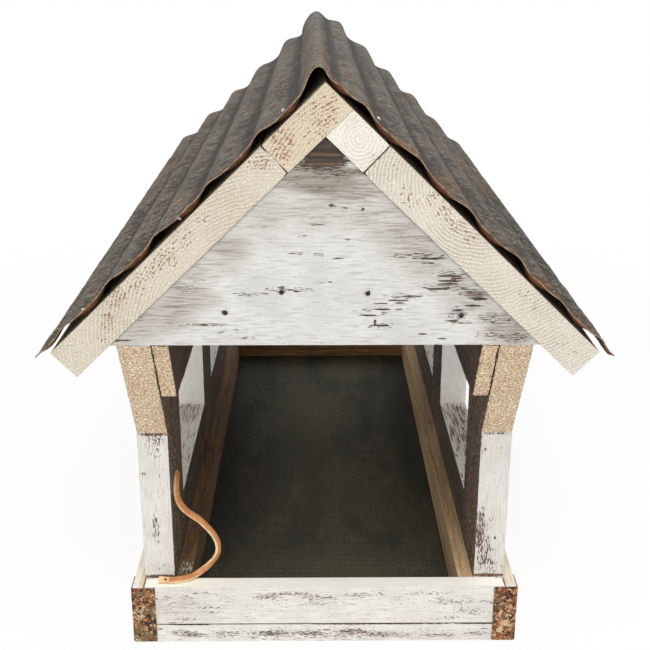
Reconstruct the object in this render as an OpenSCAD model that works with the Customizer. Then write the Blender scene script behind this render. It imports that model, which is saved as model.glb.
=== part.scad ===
// Fly-through bird feeder of reclaimed boards: a screen-floored tray, six posts,
// two gables and a boarded roof under one bent sheet of corrugated metal.
// Millimetres. X is across, Y along the ridge, Z up; the origin is under the middle.

/* [Tray] */
// Outside width of the tray, over the corner straps
tray_w = 300; // [260:1:360]
// Outside length of the tray, over the corner straps
tray_l = 600; // [520:1:760]
// Height of the tray's rim
rim_z = 50; // [42:0.5:58]
// Thickness of the base strips under the screen
base_t = 15.5; // [10:0.5:18]
// Thickness of the framed screen with its wires
screen_t = 1; // [0.6:0.1:2]
// Thickness of the outer side rails
side_rail_t = 8.5; // [6:0.5:14]
// Thickness of the front and back rails
end_rail_t = 12.5; // [9:0.5:20]
// Thickness of the inner rails along the posts
inner_rail_t = 12; // [8:0.5:18]

/* [Straps] */
// Thickness of the tin corner straps
strap_t = 1; // [0.6:0.1:2]
// Length of each leg of a corner strap
strap_leg = 18.5; // [12:0.5:30]
// Distance that a strap stops short of the rim and of the bottom
strap_margin = 0.8; // [0.2:0.1:3]

/* [Posts and side boards] */
// Thickness of the posts, across the feeder
post_t = 23.5; // [18:0.5:32]
// Width of the posts, along the feeder
post_w = 70; // [55:1:90]
// Height of the flare at the top of the end posts, up to the gable
flare_h = 90; // [70:1:110]
// Height of the side boards' top edge
side_board_z = 89; // [60:1:120]

/* [Gables and top plates] */
// Distance that the gable's lower corners stand out past the posts
gable_side = 4.1; // [2:0.1:10]
// Thickness of the gable boards
gable_t = 24; // [18:0.5:30]
// Distance from the tray's end out to the gable's face
gable_out = 41; // [25:1:55]
// Thickness of the top plates inside the posts
plate_t = 12; // [8:0.5:18]
// Distance from the gable's bottom edge down to the top plates' bottom edge
plate_drop = 51; // [30:1:60]
// Gap between the top plates and the roof boards
plate_gap = 2.6; // [1:0.1:10]
// Corner radius at the top plates' lower ends
plate_r = 5; // [2:0.5:8]

/* [Roof] */
// Height of the roof boards' peak
peak_z = 438; // [425:1:470]
// Slope of the roof, in degrees
roof_slope = 44; // [42:0.5:46]
// Thickness of the roof boards
roof_t = 24; // [20:0.5:28]
// Width of the lower roof boards
lower_board_w = 200; // [190:1:230]
// Distance down the slope from the peak to the lower boards
upper_board_w = 56; // [40:1:70]
// Distance that the roof boards stand out past the gable's face
roof_out = 1.5; // [0:0.5:20]

/* [Metal sheet] */
// Thickness of the sheet
sheet_t = 1; // [0.6:0.1:2]
// Distance that the sheet stands out past the ends of the roof boards
sheet_out = 2.5; // [0:0.5:15]
// Distance that the sheet stands out past the left eave
left_eave_out = 11; // [2:0.5:30]
// Distance that the sheet stands out past the right eave
right_eave_out = 8.5; // [2:0.5:30]
// Distance from one corrugation's crest to the next
pitch = 46; // [40:0.5:56]
// Height of a crest over the boards
crest_h = 7; // [4:0.5:12]
// Distance down the left slope from the peak to the first crest
left_crest = 51; // [46:1:56]
// Distance down the right slope from the peak to the first crest
right_crest = 27; // [24:1:32]
// Height of the ridge's own crest over the boards' peak
cap_h = 10.5; // [8:0.5:16]
// Distance of the ridge's crest to the left of the peak
cap_shift = 4; // [0:0.5:6]

/* [Hidden] */

// Tray: half sizes of the wood, and the faces of the layers from outside to inside
half_w = tray_w / 2 - strap_t;
half_l = tray_l / 2 - strap_t;
post_x1 = half_w - side_rail_t;
post_x0 = post_x1 - post_t;
inner_x = post_x0 - inner_rail_t;
end_y = half_l - end_rail_t;
base_w = half_w - inner_x;
floor_z = base_t + screen_t;

// Roof: the point where the undersides of the two slopes meet, and the boards' eaves
apex_z = peak_z - roof_t / cos(roof_slope);
eave = upper_board_w + lower_board_w;

// Gables: half the width, the bottom edge, the outer face and the inner face
gable_half = post_x1 + gable_side;
gable_z = apex_z - gable_half * tan(roof_slope);
gable_y = tray_l / 2 + gable_out;
gable_back_y = gable_y - gable_t;

// Flare and top plates, both measured from the gable's bottom edge
flare_z = gable_z - flare_h;
flare_lean = (gable_y - end_y) / flare_h;
plate_z = gable_z - plate_drop;
plate_top_z = apex_z - post_x0 * tan(roof_slope) - plate_gap;

// Lengths of the roof boards and of the sheet, along the ridge
board_l = 2 * (gable_y + roof_out);
sheet_l = board_l + 2 * sheet_out;

// Sheet: its ends down the slopes, and where the wave takes over from the ridge's crest
left_slope = eave + left_eave_out;
right_slope = eave + right_eave_out;
left_start = left_crest - pitch / 2;
right_start = 8;
cap_steps = 8;
corner_steps = 4;
wave_step = pitch / 10;

// Lace: its radius, and the points that it runs through, from the post to the rail,
// measured from the front inner corner of the left post at the height of the rim
lace_r = 2;
lace_sides = 8;
lace_ring_gap = 7;
lace_corner = [-post_x0, -end_y, rim_z];
lace_route = [
    [2.2, 24.5, 80],
    [2.2, 16.5, 76],
    [2.5, 11.5, 69],
    [4.5, 10.5, 61],
    [10, 9.5, 54],
    [19, 8.5, 47.5],
    [26.5, 7.5, 40],
    [32, 6.5, 32],
    [34, 5.5, 24],
    [32, 4.5, 16.5],
    [26, 3.5, 9.5],
    [19, 1.5, 4.5],
    [12, -2.5, 2.3],
    [4, -5.5, 2.2],
    [-4, -6.5, 2.2],
    [-12, -5.5, 2.2]
];
lace_points = [for (p = lace_route) lace_corner + p];

// Point on a roof slope: s down the slope from the peak, h out from the boards
function on_slope(side, s, h) =
    [side * (s * cos(roof_slope) + h * sin(roof_slope)),
     peak_z - s * sin(roof_slope) + h * cos(roof_slope)];

// Height of the corrugation over the boards
function wave(s, first) = crest_h * (1 + cos(360 * (s - first) / pitch)) / 2;

// Cubic curve between a and d with the handles b and c
function bezier(a, b, c, d, u) =
    a * pow(1 - u, 3) + 3 * b * u * pow(1 - u, 2) + 3 * c * u * u * (1 - u) + d * pow(u, 3);

// Middle line of one slope of the sheet, from the start of its wave to its end
function slope_line(side, start, first, end) = [
    for (i = [0 : ceil((end - start) / wave_step)])
        let (s = min(start + i * wave_step, end))
        on_slope(side, s, wave(s, first) + sheet_t / 2)
];

// Middle line over the ridge, from the left wave's start to the right one's
cap_top = [-cap_shift, peak_z + cap_h + sheet_t / 2];
cap_left = on_slope(-1, left_start, wave(left_start, left_crest) + sheet_t / 2);
cap_right = on_slope(1, right_start, wave(right_start, right_crest) + sheet_t / 2);
down_left = [-cos(roof_slope), -sin(roof_slope)];
down_right = [cos(roof_slope), -sin(roof_slope)];
function cap_line() = concat(
    [for (i = [1 : cap_steps])
        bezier(cap_left, cap_left - 8 * down_left, cap_top - [9, 0], cap_top, i / cap_steps)],
    [for (i = [1 : cap_steps - 1])
        bezier(cap_top, cap_top + [6, 0], cap_right - 6 * down_right, cap_right, i / cap_steps)]
);

function reversed(list) = [for (i = [len(list) - 1 : -1 : 0]) list[i]];
function unit(v) = v / norm(v);

sheet_line = concat(
    reversed(slope_line(-1, left_start, left_crest, left_slope)),
    cap_line(),
    slope_line(1, right_start, right_crest, right_slope)
);

// Line moved sideways by d, point by point
function shifted(line, d) = [
    for (i = [0 : len(line) - 1])
        let (a = line[max(i - 1, 0)], b = line[min(i + 1, len(line) - 1)], t = unit(b - a))
        line[i] + d * [-t[1], t[0]]
];

// Smooth curve through four neighbouring points of the lace, between the middle two
function blend_at(p, q, r, s, u) =
    0.5 * (2 * q + (r - p) * u + (2 * p - 5 * q + 4 * r - s) * u * u
        + (3 * q - p - 3 * r + s) * pow(u, 3));

// Points of the lace's centre line, close enough together for its rings
lace_line = concat(
    [for (i = [0 : len(lace_points) - 2])
        let (n = max(1, round(norm(lace_points[i + 1] - lace_points[i]) / lace_ring_gap)))
        for (j = [0 : n - 1])
            blend_at(lace_points[max(i - 1, 0)], lace_points[i], lace_points[i + 1],
                lace_points[min(i + 2, len(lace_points) - 1)], j / n)],
    [lace_points[len(lace_points) - 1]]
);

// Ring of points around one point of a line, square to the line there
function ring_at(line, i, r, sides) =
    let (a = line[max(i - 1, 0)], b = line[min(i + 1, len(line) - 1)])
    let (t = unit(b - a), side = unit(cross(t, [0.3, 1, 0.2])), up = cross(side, t))
    [for (k = [0 : sides - 1])
        line[i] + r * (cos(360 * k / sides) * side + sin(360 * k / sides) * up)];

// Block from its lowest to its highest corner
module block(low, high) {
    translate(low) cube(high - low);
}

// Outline in Y and Z, extruded across the feeder from x0 to x1
module across(x0, x1) {
    translate([x0, 0, 0])
        rotate([90, 0, 90])
            linear_extrude(x1 - x0) children();
}

// Outline in X and Z, extruded along the feeder from y0 to y1
module along(y0, y1) {
    translate([0, y1, 0])
        rotate([90, 0, 0])
            linear_extrude(y1 - y0) children();
}

// Right-hand piece, or its mirror image on the left
module on_side(side) {
    mirror([side < 0 ? 1 : 0, 0, 0]) children();
}

// Front piece, or its mirror image at the back
module at_end(end) {
    mirror([0, end > 0 ? 1 : 0, 0]) children();
}

// --- Tray ---

// Base strip under the front or back rail, across the whole width
module end_base_strip(end) {
    color("gainsboro")
        at_end(end)
            block([-half_w, -half_l, 0], [half_w, -half_l + base_w, base_t]);
}

// Base strip under the posts, between the two end strips
module side_base_strip(side) {
    color("gainsboro")
        on_side(side)
            block([inner_x, base_w - half_l, 0], [half_w, half_l - base_w, base_t]);
}

// Fine screen that lies on the base strips and carries the seed
module screen_floor() {
    color("darkslategray")
        block([-half_w, -half_l, base_t], [half_w, half_l, floor_z]);
}

// Front or back rail, between the side rails
module end_rail(end) {
    color("gainsboro")
        at_end(end)
            block([-post_x1, -half_l, floor_z], [post_x1, -end_y, rim_z]);
}

// Outer side rail, from end to end
module side_rail(side) {
    color("gainsboro")
        on_side(side)
            block([post_x1, -half_l, floor_z], [half_w, half_l, rim_z]);
}

// Inner rail along the feet of the posts
module inner_rail(side) {
    color("sienna")
        on_side(side)
            block([inner_x, -end_y, floor_z], [post_x0, end_y, rim_z]);
}

// Tin strap bent around a corner of the tray
module strap(side, end) {
    color("chocolate")
        on_side(side)
            at_end(end)
                translate([tray_w / 2, -tray_l / 2, strap_margin])
                    linear_extrude(rim_z - 2 * strap_margin)
                        polygon([
                            [0, 0], [0, strap_leg], [-strap_t, strap_leg],
                            [-strap_t, strap_t], [-strap_leg, strap_t], [-strap_leg, 0]
                        ]);
}

// --- Posts, side boards and top plates ---

// Space under the roof boards, which cuts the tops of the posts to the slope
module under_roof() {
    along(-gable_y, gable_y)
        polygon([
            [-apex_z / tan(roof_slope), 0], [apex_z / tan(roof_slope), 0], [0, apex_z]
        ]);
}

// End post: its outer edge flares forward to carry the gable
module end_post(side, end) {
    color("gainsboro")
        on_side(side)
            at_end(end)
                intersection() {
                    across(post_x0, post_x1)
                        polygon([
                            [-end_y, floor_z], [-end_y, flare_z], [-gable_y, gable_z],
                            [-gable_back_y, gable_z], [-gable_back_y, apex_z],
                            [-end_y + post_w, apex_z], [-end_y + post_w, floor_z]
                        ]);
                    under_roof();
                }
}

// Middle post, straight from the screen to the roof
module middle_post(side) {
    color("gainsboro")
        on_side(side)
            intersection() {
                block([post_x0, -post_w / 2, floor_z], [post_x1, post_w / 2, apex_z]);
                under_roof();
            }
}

// Side board between an end post and the middle post
module side_board(side, end) {
    color("gainsboro")
        on_side(side)
            at_end(end)
                block([post_x0, -end_y + post_w, floor_z], [post_x1, -post_w / 2, side_board_z]);
}

// Rounded lower front corner of a top plate, from its bottom edge round to the flare
function plate_corner() =
    let (turn = 90 - atan(flare_lean), foot_y = end_y + (plate_z - flare_z) * flare_lean)
    let (middle = [plate_r * tan(turn / 2) - foot_y, plate_z + plate_r])
    [for (i = [0 : corner_steps])
        let (a = -90 - turn * i / corner_steps)
        middle + plate_r * [cos(a), sin(a)]];

// Top plate along the inside of the posts, its ends cut to the flare under the gables
module top_plate(side) {
    corner = plate_corner();
    color("tan")
        on_side(side)
            across(post_x0 - plate_t, post_x0)
                polygon(concat(
                    corner,
                    [[-gable_y, gable_z], [-gable_back_y, gable_z]],
                    [[-gable_back_y, plate_top_z], [gable_back_y, plate_top_z]],
                    [[gable_back_y, gable_z], [gable_y, gable_z]],
                    [for (p = reversed(corner)) [-p[0], p[1]]]
                ));
}

// --- Gables and roof ---

// Gable board, a triangle that fills the end under the roof boards
module gable(end) {
    color("gainsboro")
        at_end(end)
            along(-gable_y, -gable_back_y)
                polygon([[-gable_half, gable_z], [gable_half, gable_z], [0, apex_z]]);
}

// Lower roof board, from the eave up to its joint with the upper board
module lower_roof_board(side) {
    color("antiquewhite")
        along(-board_l / 2, board_l / 2)
            polygon([
                on_slope(side, upper_board_w, 0), on_slope(side, eave, 0),
                on_slope(side, eave, -roof_t), on_slope(side, upper_board_w, -roof_t)
            ]);
}

// Upper left roof board, which laps over the end of the right one at the peak
module left_upper_roof_board() {
    lap = roof_t / sin(2 * roof_slope);
    color("antiquewhite")
        along(-board_l / 2, board_l / 2)
            polygon([
                [0, peak_z], on_slope(-1, upper_board_w, 0),
                on_slope(-1, upper_board_w, -roof_t), on_slope(1, lap, 0)
            ]);
}

// Upper right roof board, which butts against the underside of the left one
module right_upper_roof_board() {
    lap = roof_t / sin(2 * roof_slope);
    color("antiquewhite")
        along(-board_l / 2, board_l / 2)
            polygon([
                on_slope(1, lap, 0), on_slope(1, upper_board_w, 0),
                on_slope(1, upper_board_w, -roof_t), [0, apex_z]
            ]);
}

// One corrugated sheet bent over the ridge, with its crests along the roof
module roof_sheet() {
    color("dimgray")
        along(-sheet_l / 2, sheet_l / 2)
            polygon(concat(
                shifted(sheet_line, sheet_t / 2),
                reversed(shifted(sheet_line, -sheet_t / 2))
            ));
}

// --- Lace ---

// Leather lace from the left front post's inner face to the top of the front rail
module leather_lace() {
    last = len(lace_line) - 1;
    color("peru")
        polyhedron(
            points = [for (i = [0 : last]) each ring_at(lace_line, i, lace_r, lace_sides)],
            faces = concat(
                [[for (k = [0 : lace_sides - 1]) k]],
                [for (i = [0 : last - 1], k = [0 : lace_sides - 1])
                    let (m = (k + 1) % lace_sides, a = i * lace_sides, b = a + lace_sides)
                    each [[a + k, b + k, b + m], [a + k, b + m, a + m]]],
                [[for (k = [lace_sides - 1 : -1 : 0]) last * lace_sides + k]]
            )
        );
}

end_base_strip(-1);  // front_base_strip
end_base_strip(1);  // back_base_strip
side_base_strip(-1);  // left_base_strip
side_base_strip(1);  // right_base_strip
screen_floor();
end_rail(-1);  // front_rail
end_rail(1);  // back_rail
side_rail(-1);  // left_side_rail
side_rail(1);  // right_side_rail
inner_rail(-1);  // left_inner_rail
inner_rail(1);  // right_inner_rail
strap(-1, -1);  // front_left_strap
strap(1, -1);  // front_right_strap
strap(-1, 1);  // back_left_strap
strap(1, 1);  // back_right_strap
end_post(-1, -1);  // front_left_post
end_post(1, -1);  // front_right_post
middle_post(-1);  // middle_left_post
middle_post(1);  // middle_right_post
end_post(-1, 1);  // back_left_post
end_post(1, 1);  // back_right_post
side_board(-1, -1);  // front_left_side_board
side_board(1, -1);  // front_right_side_board
side_board(-1, 1);  // back_left_side_board
side_board(1, 1);  // back_right_side_board
top_plate(-1);  // left_top_plate
top_plate(1);  // right_top_plate
gable(-1);  // front_gable
gable(1);  // back_gable
lower_roof_board(-1);  // left_lower_roof_board
left_upper_roof_board();
lower_roof_board(1);  // right_lower_roof_board
right_upper_roof_board();
roof_sheet();
leather_lace();
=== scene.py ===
"""Looks of a fly-through bird feeder of reclaimed boards.

A screen-floored tray, six posts, two gables and a boarded roof stand under one bent
sheet of corrugated metal. Every piece is in metres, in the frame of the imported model:
X is across, Y along the ridge and Z up. Sizes in the classes are in millimetres.
"""

import logging
import math
import random
from collections.abc import Callable, Iterable
from dataclasses import dataclass, field
from enum import Enum

import bmesh
import bpy
from mathutils import Euler, Matrix, Vector, noise


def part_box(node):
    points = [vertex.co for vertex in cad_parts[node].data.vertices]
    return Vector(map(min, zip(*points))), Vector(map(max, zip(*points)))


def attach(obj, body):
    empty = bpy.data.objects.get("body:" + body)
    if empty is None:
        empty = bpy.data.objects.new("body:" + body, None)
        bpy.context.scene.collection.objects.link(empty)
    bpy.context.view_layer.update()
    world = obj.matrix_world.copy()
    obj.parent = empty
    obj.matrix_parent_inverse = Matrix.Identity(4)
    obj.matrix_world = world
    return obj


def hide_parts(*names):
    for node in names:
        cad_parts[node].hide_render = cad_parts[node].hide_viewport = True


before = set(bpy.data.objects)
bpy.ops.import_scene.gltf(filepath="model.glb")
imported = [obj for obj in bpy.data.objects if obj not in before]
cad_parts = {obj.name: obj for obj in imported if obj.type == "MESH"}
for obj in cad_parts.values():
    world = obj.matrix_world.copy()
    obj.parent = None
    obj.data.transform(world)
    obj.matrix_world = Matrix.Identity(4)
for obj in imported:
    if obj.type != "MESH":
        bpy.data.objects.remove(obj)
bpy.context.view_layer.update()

MM = 0.001
X_AXIS = Vector((1, 0, 0))
Y_AXIS = Vector((0, 1, 0))
Z_AXIS = Vector((0, 0, 1))
# Reach of a worn place that goes right through the feeder, in millimetres.
FAR = 1e4
REPORT = logging.getLogger("bird_feeder")

Point = tuple[float, float, float]
Colour = tuple[float, float, float, float]
Wave = tuple[tuple[float, float], ...]
Socket = bpy.types.NodeSocket


class Axis(Enum):
    """Direction in which a board's grain runs."""

    ACROSS = 0
    ALONG = 1
    UPRIGHT = 2


# --- Small shared tools -------------------------------------------------------------


def linear(code: str) -> Colour:
    """Turns an sRGB hex colour into the linear one that a shader takes.

    Args:
        code: The colour as "#RRGGBB".

    Returns:
        Red, green, blue and an alpha of 1.
    """
    parts = [int(code[i : i + 2], 16) / 255 for i in (1, 3, 5)]
    flat = [p / 12.92 if p <= 0.04045 else ((p + 0.055) / 1.055) ** 2.4 for p in parts]
    return (flat[0], flat[1], flat[2], 1.0)


def smooth(low: float, high: float, value: float) -> float:
    """Gives 0 below low, 1 above high and an even blend between them."""
    t = min(1.0, max(0.0, (value - low) / (high - low)))
    return t * t * (3 - 2 * t)


def rough(place: Vector, size: float, seed: float = 0.0) -> float:
    """Noise from -1 to 1 at a place.

    Args:
        place: Where, in metres.
        size: Width of one lump in millimetres.
        seed: Moves the pattern, so that two pieces differ.

    Returns:
        The noise there.
    """
    return noise.noise(place / (size * MM) + Vector((seed, 3.7 * seed, 0.0)))


def looks_up(normal: Vector) -> bool:
    """Tells whether a face looks up."""
    return normal.z > 0.8


def looks_inside(turned: float, far: float) -> bool:
    """Tells whether a face turned so looks to the middle from a place so far out."""
    return turned * (-1 if far > 0 else 1) > 0.6


def finish_piece(
    mesh: bmesh.types.BMesh, name: str, finishes: list, angle: float = 35.0
) -> bpy.types.Object:
    """Turns a bmesh into a piece that rides on the feeder.

    Args:
        mesh: The piece's shape, which is freed.
        name: The piece's name.
        finishes: Its finishes, in the order of the faces' material numbers.
        angle: Edges sharper than this many degrees stay crisp.

    Returns:
        The new object.
    """
    data = bpy.data.meshes.new(name)
    mesh.normal_update()
    for face in mesh.faces:
        face.smooth = True
    for edge in mesh.edges:
        if len(edge.link_faces) == 2:
            edge.smooth = edge.calc_face_angle(0.0) < math.radians(angle)
    mesh.to_mesh(data)
    mesh.free()
    piece = bpy.data.objects.new(name, data)
    bpy.context.scene.collection.objects.link(piece)
    for finish in finishes:
        data.materials.append(finish.material())
    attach(piece, "root")
    return piece


# --- Finishes -----------------------------------------------------------------------


class Node(Enum):
    """Kind of node: Blender's name, its inputs in order, its output and its settings."""

    PLACE = ("TexCoord", (), "Object", {})
    UNROLLED = ("UVMap", (), "UV", {"uv_map": "unrolled"})
    CREST = ("Attribute", (), "Fac", {"attribute_name": "crest"})
    RAYS = ("LightPath", (), "Is Camera Ray", {})
    SCALED = ("Mapping", ("Vector", "Scale", "Location"), "Vector", {})
    NOISE = ("TexNoise", ("Vector", "Scale", "Detail", "Roughness", "Distortion"), "Fac", {})
    SHRINK = ("VectorMath", (0, 1, 2), "Vector", {"operation": "MULTIPLY_ADD"})
    LENGTH = ("VectorMath", (0,), "Value", {"operation": "LENGTH"})
    ADD = ("Math", (0, 1), 0, {"operation": "ADD"})
    SUBTRACT = ("Math", (0, 1), 0, {"operation": "SUBTRACT"})
    MULTIPLY = ("Math", (0, 1), 0, {"operation": "MULTIPLY"})
    MINIMUM = ("Math", (0, 1), 0, {"operation": "MINIMUM"})
    MAXIMUM = ("Math", (0, 1), 0, {"operation": "MAXIMUM"})
    SINE = ("Math", (0,), 0, {"operation": "SINE"})
    STEP = ("MapRange", (0, 1, 2, 3, 4), 0, {"interpolation_type": "SMOOTHSTEP"})
    BLEND = ("Mix", (0, 6, 7), 2, {"data_type": "RGBA"})
    RAMP = ("ValToRGB", ("Fac",), "Color", {})
    BUMP = ("Bump", ("Height", "Distance", "Strength"), 0, {})
    SURFACE = ("BsdfPrincipled", ("Base Color", "Roughness", "Normal"), 0, {})
    MATT = ("BsdfDiffuse", ("Color",), 0, {})
    GLOW = ("Emission", ("Color", "Strength"), 0, {})
    SHARE = ("MixShader", (0, 1, 2), 0, {})
    SKY = ("Background", ("Color", "Strength"), 0, {})
    MATERIAL = ("OutputMaterial", ("Surface",), None, {})
    WORLD = ("OutputWorld", ("Surface",), None, {})


class Wear(Enum):
    """Which wear of a patch counts."""

    CHIPS = "chips"
    THIN = "thin"


@dataclass(frozen=True)
class Patch:
    """Place where a finish is worn, in millimetres; some finishes also paint shade with it.

    Attributes:
        centre: The middle of the place.
        reach: How far it goes each way.
        chips: How much more the paint is chipped there.
        thin: How much more the wood shows through there.
    """

    centre: Point
    reach: Point
    chips: float = 0.0
    thin: float = 0.0


def worn_places(*rows: tuple[float, ...]) -> tuple[Patch, ...]:
    """Makes patches from rows of numbers.

    Args:
        *rows: For each, its centre, its reach, and then any chips and thin.

    Returns:
        The patches.
    """
    return tuple(Patch(row[:3], row[3:6], *row[6:]) for row in rows)


def front_places(rows: Iterable[tuple[float, ...]]) -> tuple[Patch, ...]:
    """Makes patches that go right through from the front to the back.

    Args:
        rows: For each, its place and its reach across and up, and any chips and thin.

    Returns:
        The patches.
    """
    return tuple(Patch((x, 0, z), (wide, FAR, high), *worn) for x, z, wide, high, *worn in rows)


@dataclass(frozen=True)
class Mixer:
    """Mixes one finish, or the world's light, in its node tree.

    In add, a STEP takes a value, the two levels that it lies between and what they
    become; a BLEND takes an amount, the colour under it and the colour over it.
    """

    tree: bpy.types.NodeTree

    def add(
        self, kind: Node, *inputs: object, stops: Iterable[tuple[float, str]] = (), **more: object
    ) -> Socket | None:
        """Adds a node with its settings, its values and its links.

        Args:
            kind: The kind of node.
            *inputs: For each of its inputs, a value, a hex colour or a socket to link.
            stops: For a colour ramp, each place and its hex colour.
            **more: The same as inputs for others by name, with _ for a space.

        Returns:
            The node's output, if it has one.
        """
        name, sockets, output, settings = kind.value
        node = self.tree.nodes.new("ShaderNode" + name)
        for key, value in settings.items():
            setattr(node, key, value)
        wanted = [*zip(sockets, inputs), *((k.replace("_", " "), v) for k, v in more.items())]
        for key, value in wanted:
            if isinstance(value, Socket):
                self.tree.links.new(value, node.inputs[key])
            else:
                node.inputs[key].default_value = linear(value) if isinstance(value, str) else value
        for index, (place, code) in enumerate(stops):
            elements = node.color_ramp.elements
            element = elements[index] if index < 2 else elements.new(place)
            element.position, element.color = place, linear(code)
        return None if output is None else node.outputs[output]

    def seen(self) -> Socket:
        """Gives 1 for what the camera or a glossy surface sees, and otherwise 0."""
        rays = self.add(Node.RAYS)
        return self.add(Node.MAXIMUM, rays, rays.node.outputs["Is Glossy Ray"])

    def speckle(
        self, place: Socket, size: Point, detail: float = 3.0, harsh: float = 0.55,
        bend: float = 0.0, seed: float = 0.0,
    ) -> Socket:
        """Adds an uneven pattern whose lumps have a real size.

        Args:
            place: Where the pattern is read.
            size: Size of a lump each way, in millimetres.
            detail: How many finer layers it has.
            harsh: How strong the finer layers are.
            bend: How much the lumps wander.
            seed: Moves the pattern.

        Returns:
            The pattern, from 0 to 1 around 0.5.
        """
        scale = [1 / (s * MM) for s in size]
        moved = self.add(Node.SCALED, place, scale, (seed, 1.3 * seed, 2.1 * seed))
        return self.add(Node.NOISE, moved, 1.0, detail, harsh, bend)

    def lay(self, under: object, *coats: tuple) -> Socket:
        """Lays coats of colour over one another.

        Args:
            under: The colour below them.
            *coats: For each, its pattern, the level at which it starts and the one at
                which it is full, its strength there, and its colour.

        Returns:
            The colour that shows.
        """
        for pattern, start, full, strength, over in coats:
            amount = self.add(Node.STEP, pattern, start, full, 0.0, strength)
            under = self.add(Node.BLEND, amount, under, over)
        return under

    def worn(self, place: Socket, patches: Iterable[Patch], kind: Wear, base: float) -> Socket:
        """Adds up how worn the finish is at each place.

        Args:
            place: Where it is read, in metres.
            patches: The places with more wear.
            kind: Which wear of a patch counts.
            base: The wear away from the patches.

        Returns:
            The wear.
        """
        total: object = base
        for patch in patches:
            amount = getattr(patch, kind.value)
            if not amount:
                continue
            shrink = [1 / (reach * MM) for reach in patch.reach]
            middle = [-c * MM * k for c, k in zip(patch.centre, shrink)]
            far = self.add(Node.LENGTH, self.add(Node.SHRINK, place, shrink, middle))
            inside = self.add(Node.STEP, far, 1.0, 0.25, 0.0, amount)
            total = self.add(Node.ADD, inside, total)
        return self.add(Node.ADD, total, 0.0) if isinstance(total, float) else total

    def shader(
        self, colour: Socket, roughness: object, height: Socket, relief: float, **constants: float
    ) -> Socket:
        """Adds the surface shader with its bump.

        Args:
            colour: The surface's colour.
            roughness: A number or a socket.
            height: The relief's pattern, from 0 to 1.
            relief: Depth of the relief in millimetres.
            **constants: Plain numbers for other inputs, named with _ for spaces.

        Returns:
            The shader's output.
        """
        bump = self.add(Node.BUMP, height, relief * MM, 1.0)
        return self.add(Node.SURFACE, colour, roughness, bump, **constants)


@dataclass(frozen=True)
class Finish:
    """Base of all the finishes: one procedural material, made once."""

    name: str

    def material(self) -> bpy.types.Material:
        """Gives the finish's material, and makes it the first time.

        Returns:
            The material.
        """
        found = bpy.data.materials.get(self.name)
        if found:
            return found
        made = bpy.data.materials.new(self.name)
        made.use_nodes = True
        made.node_tree.nodes.clear()
        mix = Mixer(made.node_tree)
        mix.add(Node.MATERIAL, self.surface(mix))
        return made

    def surface(self, mix: Mixer) -> Socket:
        """Builds the shader and gives its output."""
        raise NotImplementedError


@dataclass(frozen=True)
class GrainedFinish(Finish):
    """Base of the finishes whose pattern runs with the wood's grain."""

    grain: Axis = Axis.ACROSS

    def along(self, run: float, wide: float) -> Point:
        """Size of a lump that runs with the grain."""
        return tuple(run if way == self.grain.value else wide for way in range(3))


@dataclass(frozen=True)
class Whitewash(GrainedFinish):
    """Thinned white paint brushed on old sawn softwood, rubbed back along the grain.

    The eye gets a matt chalky white with fine grey lines along the grain, swarms of
    short dark dashes where the wood shows, and places where the wash is thin. The
    dashes are 0.6 wide, a little coarser than the real ones, so that they show.
    """

    paint: str = "#E6E3DD"
    shade: str = "#BDB9B2"
    wood: str = "#40352D"
    bark: str = "#7D6149"
    through: str = "#A49A8C"
    chips: float = 0.0
    thin: float = 0.1
    dash: tuple[float, float] = (6.0, 0.6)
    patches: tuple[Patch, ...] = ()

    def surface(self, mix: Mixer) -> Socket:
        """Builds the wash over the wood.

        Args:
            mix: Mixes the nodes.

        Returns:
            The shader.
        """
        add, place = mix.add, mix.add(Node.PLACE)
        fine = mix.speckle(place, self.along(13, 0.9), 4, 0.66, 0.2)
        band = mix.speckle(place, self.along(45, 2.4), 4, 0.62, 0.5, 4.0)
        dash = mix.speckle(place, self.along(*self.dash), 2, 0.5, 0.3, 9.0)
        swarm = mix.speckle(place, self.along(13, 4), 3, 0.6, 0.5, 17.0)
        cloud = mix.speckle(place, (28, 28, 28), 2, 0.5, 0.0, 2.0)
        grit = mix.speckle(place, self.along(2.2, 1.1), 2, 0.6, 0.0, 23.0)
        chips = mix.worn(place, self.patches, Wear.CHIPS, self.chips)
        thin = mix.worn(place, self.patches, Wear.THIN, self.thin)
        # Paint: fine lines along the grain over slow changes from brush to brush.
        lines = add(Node.STEP, fine, 0.46, 0.68, 0.0, 0.75)
        slow = add(Node.STEP, cloud, 0.35, 0.7, 0.0, 0.35)
        paint = add(Node.BLEND, add(Node.MAXIMUM, lines, slow), self.paint, self.shade)
        # Thin wash: the wood's own bands show through.
        bands = add(Node.STEP, add(Node.ADD, band, lines), 0.42, 0.95)
        bands = add(Node.MULTIPLY, bands, 0.4)
        show = add(Node.MULTIPLY, add(Node.ADD, bands, 0.38), thin)
        below = mix.lay(self.through, (band, 0.44, 0.66, 0.4, self.bark))
        washed = add(Node.BLEND, add(Node.MINIMUM, show, 1.0), paint, below)
        washed = mix.lay(washed, (grit, 0.6, 0.7, 0.45, self.through))
        # Chips: dashes stand close together where a swarm meets the wear.
        edge = add(Node.SUBTRACT, 0.62, add(Node.MULTIPLY, chips, 0.3))
        meet = add(Node.STEP, swarm, edge, add(Node.ADD, edge, 0.16))
        strong = add(Node.ADD, add(Node.MULTIPLY, chips, 0.09), 0.165)
        level = add(Node.SUBTRACT, 0.84, add(Node.MULTIPLY, meet, strong))
        gone = add(Node.STEP, dash, level, add(Node.ADD, level, 0.035))
        bare = mix.lay(self.wood, (band, 0.46, 0.62, 1.0, self.bark))
        colour = add(Node.BLEND, add(Node.MULTIPLY, gone, 0.94), washed, bare)
        height = add(Node.SUBTRACT, fine, add(Node.MULTIPLY, gone, 0.8))
        return mix.shader(colour, 0.85, height, 0.35)


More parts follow.
